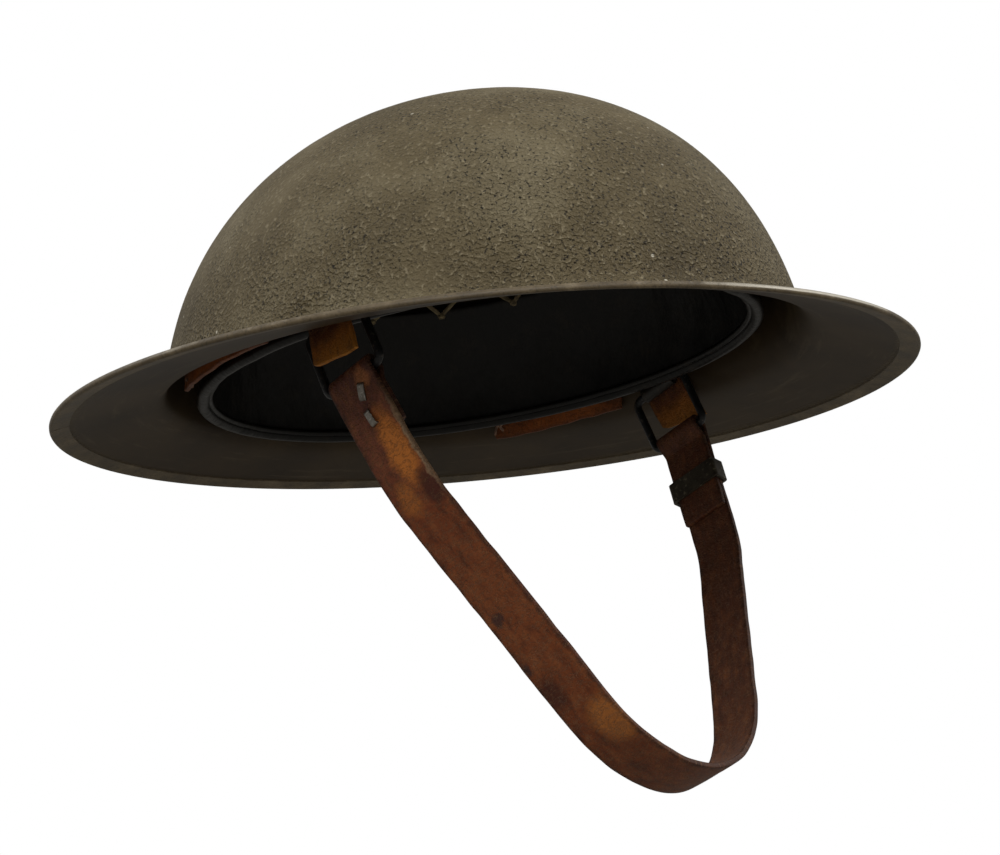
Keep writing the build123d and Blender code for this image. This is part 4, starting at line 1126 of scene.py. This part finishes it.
# The same paint without sand, brushed on a folded steel strip. It has a soft sheen, and its outer edge is rubbed
# through to bright steel in places.
def rimPaint():
    material, add = newMaterial("worn_olive_paint_on_folded_steel_strip")
    place = add("TexCoord").outputs["Object"]
    edge = add("Attribute", attribute_name="wornEdge").outputs["Fac"]
    patch, long, grain = [
        add("TexNoise", {"Vector": place, "Scale": perMm(size), "Detail": detail, "Roughness": rough})
        for size, detail, rough in ((11.0, 6.0, 0.65), (60.0, 1.0, 0.5), (0.9, 3.0, 0.5))]
    colour = add("ValToRGB", {0: patch}, [(0.32, "453a28"), (0.52, "5d503a"), (0.7, "766850")])
    speck = add("ValToRGB", {0: grain}, [(0.34, 0.45), (0.46, 0.0)])
    wornReach = add("Math", {0: patch, 1: long}, operation="ADD")
    wornReach = add("Math", {0: wornReach, 1: edge}, operation="ADD")
    worn = add("MapRange", {"Value": wornReach, "From Min": 1.5, "From Max": 1.75})
    worn = add("Math", {0: worn, 1: edge}, operation="MULTIPLY")
    for mask, tone in ((speck, "2b241a"), (worn, "b3ada0")):
        colour = add("Mix", {0: mask, 6: colour, 7: tone}, data_type="RGBA")
    rough = add("MapRange", {"Value": patch, "To Min": 0.42, "To Max": 0.62})
    metallic = add("Math", {0: worn, 1: 0.8}, operation="MULTIPLY")
    return finishSkin(material, add, colour, rough, grain, 0.14, metallic=metallic, gloss=0.4)


def paintedMetal(name, tones, wornHex, roughness, metallic, patchSize, wornShare):
    # two tones in soft patches, and rubbed spots that show the metal
    material, add = newMaterial(name)
    place = add("TexCoord").outputs["Object"]
    patch, rub, grain = [
        add("TexNoise", {"Vector": place, "Scale": perMm(size), "Detail": detail, "Roughness": rough})
        for size, detail, rough in ((patchSize, 6.0, 0.65), (patchSize * 0.45, 5.0, 0.5), (0.7, 2.0, 0.5))]
    tone = add("ValToRGB", {0: patch}, [(0.33, tones[0]), (0.68, tones[1])])
    rubMask = add("ValToRGB", {0: rub}, [(0.68 - wornShare, 0.0), (0.74 - wornShare, 0.9)])
    colour = add("Mix", {0: rubMask, 6: tone, 7: wornHex}, data_type="RGBA")
    rough = add("MapRange", {"Value": patch, "To Min": roughness - 0.08, "To Max": roughness + 0.1})
    height = add("Math", {0: rub, 1: 0.6, 2: grain}, operation="MULTIPLY_ADD")
    return finishSkin(material, add, colour, rough, height, 0.1, metallic=metallic)


def leather(name, look):
    # leather by its own map, across and along in metres: tones along it, wear, stains, dark edges, pores, creases
    material, add = newMaterial(name)
    flat = add("VectorMath", {0: add("TexCoord").outputs["UV"], 3: 1 / mm}, operation="SCALE")
    drift = add("TexNoise", {"Vector": flat, "Scale": 0.22, "Detail": 4.0, "Roughness": 0.6}).outputs["Color"]
    centred = add("VectorMath", {0: drift, 1: (0.5, 0.5, 0.5)}, operation="SUBTRACT")
    moved = add("VectorMath", {0: centred, 1: (look["drift"],) * 3, 2: flat}, operation="MULTIPLY_ADD")
    split = add("SeparateXYZ", {0: moved}).outputs
    first, last = look["span"]
    share = add("MapRange", {"Value": split["Y"], "From Min": first, "From Max": last})
    colour = add("ValToRGB", {0: share}, [((run - first) / (last - first), tone) for run, tone in look["tones"]])
    streak = add("Mapping", {"Vector": flat, "Scale": (1.0, 0.42, 1.0)})
    worn = add("TexNoise", {"Vector": streak, "Scale": 0.3, "Detail": 7.0, "Roughness": 0.68})
    layers = [(add("ValToRGB", {0: worn}, [(0.5, 0.0), (0.75, look["wornShare"])]), look["wornHex"]),
              (add("ValToRGB", {0: worn}, [(0.28, 0.8), (0.48, 0.0)]), look["darkHex"])]
    for across, along, wide, long, tone, strength in look["stains"]:
        spot = add("Mapping", {"Vector": moved, "Location": (-across / wide, -along / long, 0),
                               "Scale": (1 / wide, 1 / long, 0)})
        ball = add("TexGradient", {"Vector": spot}, gradient_type="SPHERICAL")
        layers.append((add("ValToRGB", {0: ball}, [(0.02, 0.0), (0.5, strength)]), tone))
    reach = add("Math", {0: split["X"], 1: look["middle"]}, operation="SUBTRACT")
    reach = add("Math", {0: reach}, operation="ABSOLUTE")
    edge = add("MapRange", {"Value": reach, "From Min": look["half"] - 1.6, "From Max": look["half"] - 0.1})
    edge = add("Math", {0: edge, 1: look["edgeShare"]}, operation="MULTIPLY")
    pores = add("TexVoronoi", {"Vector": flat, "Scale": 1 / look["pore"]})
    poreMask = add("ValToRGB", {0: pores}, [(0.1, 0.35), (0.3, 0.0)])
    crease = add("Mapping", {"Vector": moved, "Scale": (0.35, 1.0, 1.0), "Rotation": (0, 0, math.radians(14))})
    fold = add("TexNoise", {"Vector": crease, "Scale": 0.55, "Detail": 5.0, "Roughness": 0.6})
    thin = add("ValToRGB", {0: fold}, [(0.47, 0.0), (0.5, 1.0), (0.53, 0.0)])
    creaseMask = add("Math", {0: thin, 1: look["creaseShare"]}, operation="MULTIPLY")
    layers += [(edge, look["edgeHex"]), (poreMask, look["darkHex"]), (creaseMask, look["creaseHex"])]
    for mask, tone in layers:
        colour = add("Mix", {0: mask, 6: colour, 7: tone}, data_type="RGBA")
    # fibres, pores, creases and worn places make its relief
    height = add("TexNoise", {"Vector": flat, "Scale": 1.4, "Detail": 3.0})
    for part, depth in ((pores, 0.35), (thin, -0.6), (worn, 1.2)):
        height = add("Math", {0: part, 1: depth, 2: height}, operation="MULTIPLY_ADD")
    rough = add("MapRange", {"Value": worn, "To Min": look["rough"][0], "To Max": look["rough"][1]})
    return finishSkin(material, add, colour, rough, height, look["bump"], gloss=0.3)


# Harness leather, tanned, dyed brown and long carried: dark where sweat got in, rubbed to tan on the raised grain,
# and darker at its cut edges. The darker tones at its top, round the fold and the right bail, are painted shadow of
# the brim. (across, along, half width, half length, colour, strength) for each stain.
strapLook = {"span": (-36.0, 240.0), "middle": 0.0, "half": 9.5, "drift": 5.0, "pore": 0.75, "bump": 0.22,
             "tones": ((-36, "4a2519"), (2, "582f22"), (16, "6f3c28"), (50, "743819"), (80, "7d421f"),
                       (130, "6f3513"), (165, "6b3719"), (200, "65391f"), (240, "5a311d")),
             "wornHex": "9c6238", "wornShare": 0.55, "darkHex": "35180d", "edgeHex": "26130b", "edgeShare": 0.7,
             "creaseHex": "9a6f4a", "creaseShare": 0.4, "rough": (0.42, 0.66),
             "stains": ((3.5, 27.0, 6.0, 17.0, "c4742c", 0.9), (-3.0, 43.0, 5.0, 8.0, "a96328", 0.75),
                        (6.0, 43.0, 4.5, 8.0, "3a130c", 0.8), (9.6, 28.0, 1.7, 22.0, "c3a27c", 0.9),
                        (5.5, 135.0, 9.0, 11.0, "b06c2e", 0.7), (-6.0, 119.0, 5.5, 8.0, "3a150e", 0.75),
                        (-5.0, 89.6, 2.4, 2.6, "1d1a22", 0.7), (-8.0, 107.6, 2.0, 2.6, "1d1a22", 0.7),
                        (4.5, 2.0, 4.0, 4.0, "a9693a", 0.65), (0.5, 11.0, 2.4, 3.2, "3f1216", 0.7))}
# Vegetable-tanned leather, oiled: orange-brown, dark along its edges and darker towards both ends.
rearLook = {"span": (8.0, 61.0), "middle": 9.75, "half": 9.75, "drift": 4.0, "pore": 0.8, "bump": 0.2,
            "tones": ((8, "6a3714"), (25, "97501b"), (45, "8c4817"), (61, "6b3813")),
            "wornHex": "b0692b", "wornShare": 0.5, "darkHex": "3a1c0b", "edgeHex": "38190a", "edgeShare": 0.6,
            "creaseHex": "8d6136", "creaseShare": 0.3, "rough": (0.4, 0.6), "stains": ()}
# The same leather with its flesh side worn soft: nearly black at the top, golden with loose fibres below.
tabLook = {"span": (-6.0, 30.0), "middle": 1.2, "half": 10.3, "drift": 4.0, "pore": 0.9, "bump": 0.26,
           "tones": ((-6, "26100a"), (10, "3c1b0a"), (15.5, "5f2f0e"), (20, "a5631f"), (30, "c07f30")),
           "wornHex": "a86c2c", "wornShare": 0.4, "darkHex": "2a1509", "edgeHex": "2a1509", "edgeShare": 0.4,
           "creaseHex": "b07a3c", "creaseShare": 0.3, "rough": (0.5, 0.72), "stains": ()}


def oiledCloth(name):
    # cotton cloth under a glossy oil coat: black, smooth over the threads, with fine cracks along its folds
    material, add = newMaterial(name)
    place = add("TexCoord").outputs["Object"]
    patch = add("TexNoise", {"Vector": place, "Scale": perMm(9.0), "Detail": 6.0, "Roughness": 0.65})
    upright = add("Mapping", {"Vector": place, "Scale": (1.0, 1.0, 0.3)})
    wrinkle = add("TexNoise", {"Vector": upright, "Scale": perMm(3.2), "Detail": 4.0})
    cracks = add("TexVoronoi", {"Vector": upright, "Scale": perMm(2.4)}, feature="DISTANCE_TO_EDGE")
    crackMask = add("ValToRGB", {0: cracks}, [(0.02, 0.5), (0.06, 0.0)])
    tone = add("ValToRGB", {0: patch}, [(0.35, "080706"), (0.55, "110f0c"), (0.75, "231e17")])
    colour = add("Mix", {0: crackMask, 6: tone, 7: "050404"}, data_type="RGBA")
    rough = add("MapRange", {"Value": patch, "To Min": 0.26, "To Max": 0.5})
    return finishSkin(material, add, colour, rough, wrinkle, 0.5, strength=0.7, gloss=0.22)


# the scale at which a wave pattern has one band for each unit
bandScale = 0.314


def wovenCotton(name, tones, thread):
    # plain weave by its own map, each thread drawn 1 mm wide where the real one is finer, so that it shows, with
    # painted shade in the gaps between the threads
    material, add = newMaterial(name)
    flat = add("TexCoord").outputs["UV"]
    warp, weft = [add("TexWave", {"Vector": flat, "Scale": bandScale * perMm(thread), "Distortion": 0.3,
                                  "Detail": 1.0}, bands_direction=way) for way in ("X", "Y")]
    weave = add("Math", {0: warp, 1: weft}, operation="MULTIPLY")
    patch = add("TexNoise", {"Vector": flat, "Scale": perMm(7.0), "Detail": 4.0})
    tone = add("ValToRGB", {0: patch}, [(0.35, tones[0]), (0.65, tones[1])])
    gapShade = add("ValToRGB", {0: weave}, [(0.0, 0.5), (0.4, 0.0)])
    colour = add("Mix", {0: gapShade, 6: tone, 7: tones[2]}, data_type="RGBA")
    return finishSkin(material, add, colour, 0.9, weave, 0.2)


def twistedTwine(name, tones, pitch):
    # spun fibre: bands that slant across the cord for its twist, with painted shade in the grooves between them, and
    # fuzz in dull patches
    material, add = newMaterial(name)
    place = add("TexCoord").outputs["Object"]
    twist = add("TexWave", {"Vector": place, "Scale": bandScale * perMm(pitch), "Distortion": 1.5, "Detail": 1.0},
                bands_direction="DIAGONAL")
    patch = add("TexNoise", {"Vector": place, "Scale": perMm(8.0), "Detail": 4.0})
    tone = add("ValToRGB", {0: patch}, [(0.35, tones[0]), (0.65, tones[1])])
    grooveShade = add("ValToRGB", {0: twist}, [(0.05, 0.6), (0.45, 0.0)])
    colour = add("Mix", {0: grooveShade, 6: tone, 7: tones[2]}, data_type="RGBA")
    return finishSkin(material, add, colour, 0.9, twist, 0.25)


def mattGrain(name, tones, rough, grainSize, grainDepth, fibreHex=None):
    # felt or rubber: soft patches over a fine grain, with pale stray fibres in felt
    material, add = newMaterial(name)
    place = add("TexCoord").outputs["Object"]
    patch = add("TexNoise", {"Vector": place, "Scale": perMm(7.0), "Detail": 5.0})
    grain = add("TexNoise", {"Vector": place, "Scale": perMm(grainSize), "Detail": 3.0})
    colour = add("ValToRGB", {0: patch}, [(0.35, tones[0]), (0.65, tones[1])])
    if fibreHex:
        stretched = add("Mapping", {"Vector": place, "Scale": (1.0, 0.2, 1.0), "Rotation": (0, 0, math.radians(37))})
        fibre = add("TexNoise", {"Vector": stretched, "Scale": perMm(0.8), "Detail": 3.0})
        fibreMask = add("ValToRGB", {0: fibre}, [(0.6, 0.0), (0.72, 0.6)])
        colour = add("Mix", {0: fibreMask, 6: colour, 7: fibreHex}, data_type="RGBA")
    return finishSkin(material, add, colour, rough, grain, grainDepth)


# Bare and painted steel: tones, colour where it is rubbed, roughness, metallic, patch in mm, share rubbed, users.
metals = {
    # zinc-dulled steel washers, grey with dark patches
    "dulled_steel_washer": ((("3f3c36", "6b675f"), "8c877d", 0.45, 0.85, 4.0, 0.1),
                            (nodes["crown_washer"], nodes["right_hanger_washer"], nodes["left_hanger_washer"])),
    # black paint brushed on folded strip, satin, rubbed brown at its bends
    "brushed_black_paint_on_steel_lug": ((("16120e", "2b251d"), "4d4437", 0.46, 0.1, 4.0, 0.06),
                                         (nodes["right_lug"], nodes["left_lug"])),
    # wire blackened in the forge: a dull brown-black skin with steel showing through
    "forge_blackened_steel_wire": ((("0f0f10", "232325"), "45403a", 0.42, 0.4, 3.0, 0.08),
                                   (nodes["right_bail"], nodes["left_bail"])),
    # drawn steel strip gone dull and grey
    "dull_drawn_steel_staple": ((("6d6861", "8f8a82"), "b0aba2", 0.4, 0.85, 1.6, 0.1), (staples,)),
    # olive paint on a bent steel loop, rubbed to metal where the strap runs
    "dull_olive_paint_on_slide": ((("2f2a21", "4a4336"), "77715f", 0.48, 0.25, 3.5, 0.09), (nodes["strap_slide"],)),
}
for name, (look, users) in metals.items():
    coverWith(paintedMetal(name, *look), *users)
coverWith(sandedPaint("sanded_olive_paint_on_pressed_steel"), steelShell)
coverWith(sandedPaint("sanded_olive_paint_on_steel_rivet", wholeCoat=True), *hangerRivets, nodes["crown_rivet"])
coverWith(rimPaint(), foldedRim)
coverWith(leather("worn_brown_harness_leather", strapLook), chinStrap)
coverWith(leather("oiled_orange_brown_leather", rearLook), rearStraps)
coverWith(leather("soft_worn_golden_leather", tabLook), *tabs)
coverWith(oiledCloth("black_oiled_cotton_cloth"), headband, hem)
# the third tone of each twine is painted shade in the grooves of its twist
coverWith(twistedTwine("spun_cotton_net_twine", ("6a5c43", "8f805e", "3c3325"), 1.5), net)
coverWith(twistedTwine("spun_cotton_drawstring", ("7a6d50", "a19470", "4a4130"), 1.9), drawstring)
coverWith(twistedTwine("waxed_pinkish_lacing_twine", ("7c5f4f", "a3826d", "47332a"), 1.1), lacing, tapeStitching)
# the third tone of the tape is painted shade in the gaps of its weave
coverWith(wovenCotton("woven_khaki_cotton_tape", ("685d42", "877b5c", "3d3626"), 1.0), cradleTapes)
coverWith(mattGrain("pressed_wool_felt", ("57524a", "7a746a"), 0.95, 0.6, 0.3, fibreHex="a49b8b"), crownPad)
coverWith(mattGrain("moulded_brown_rubber", ("2a2420", "443b33"), 0.68, 0.9, 0.08), cushions)
print("stage: materials")
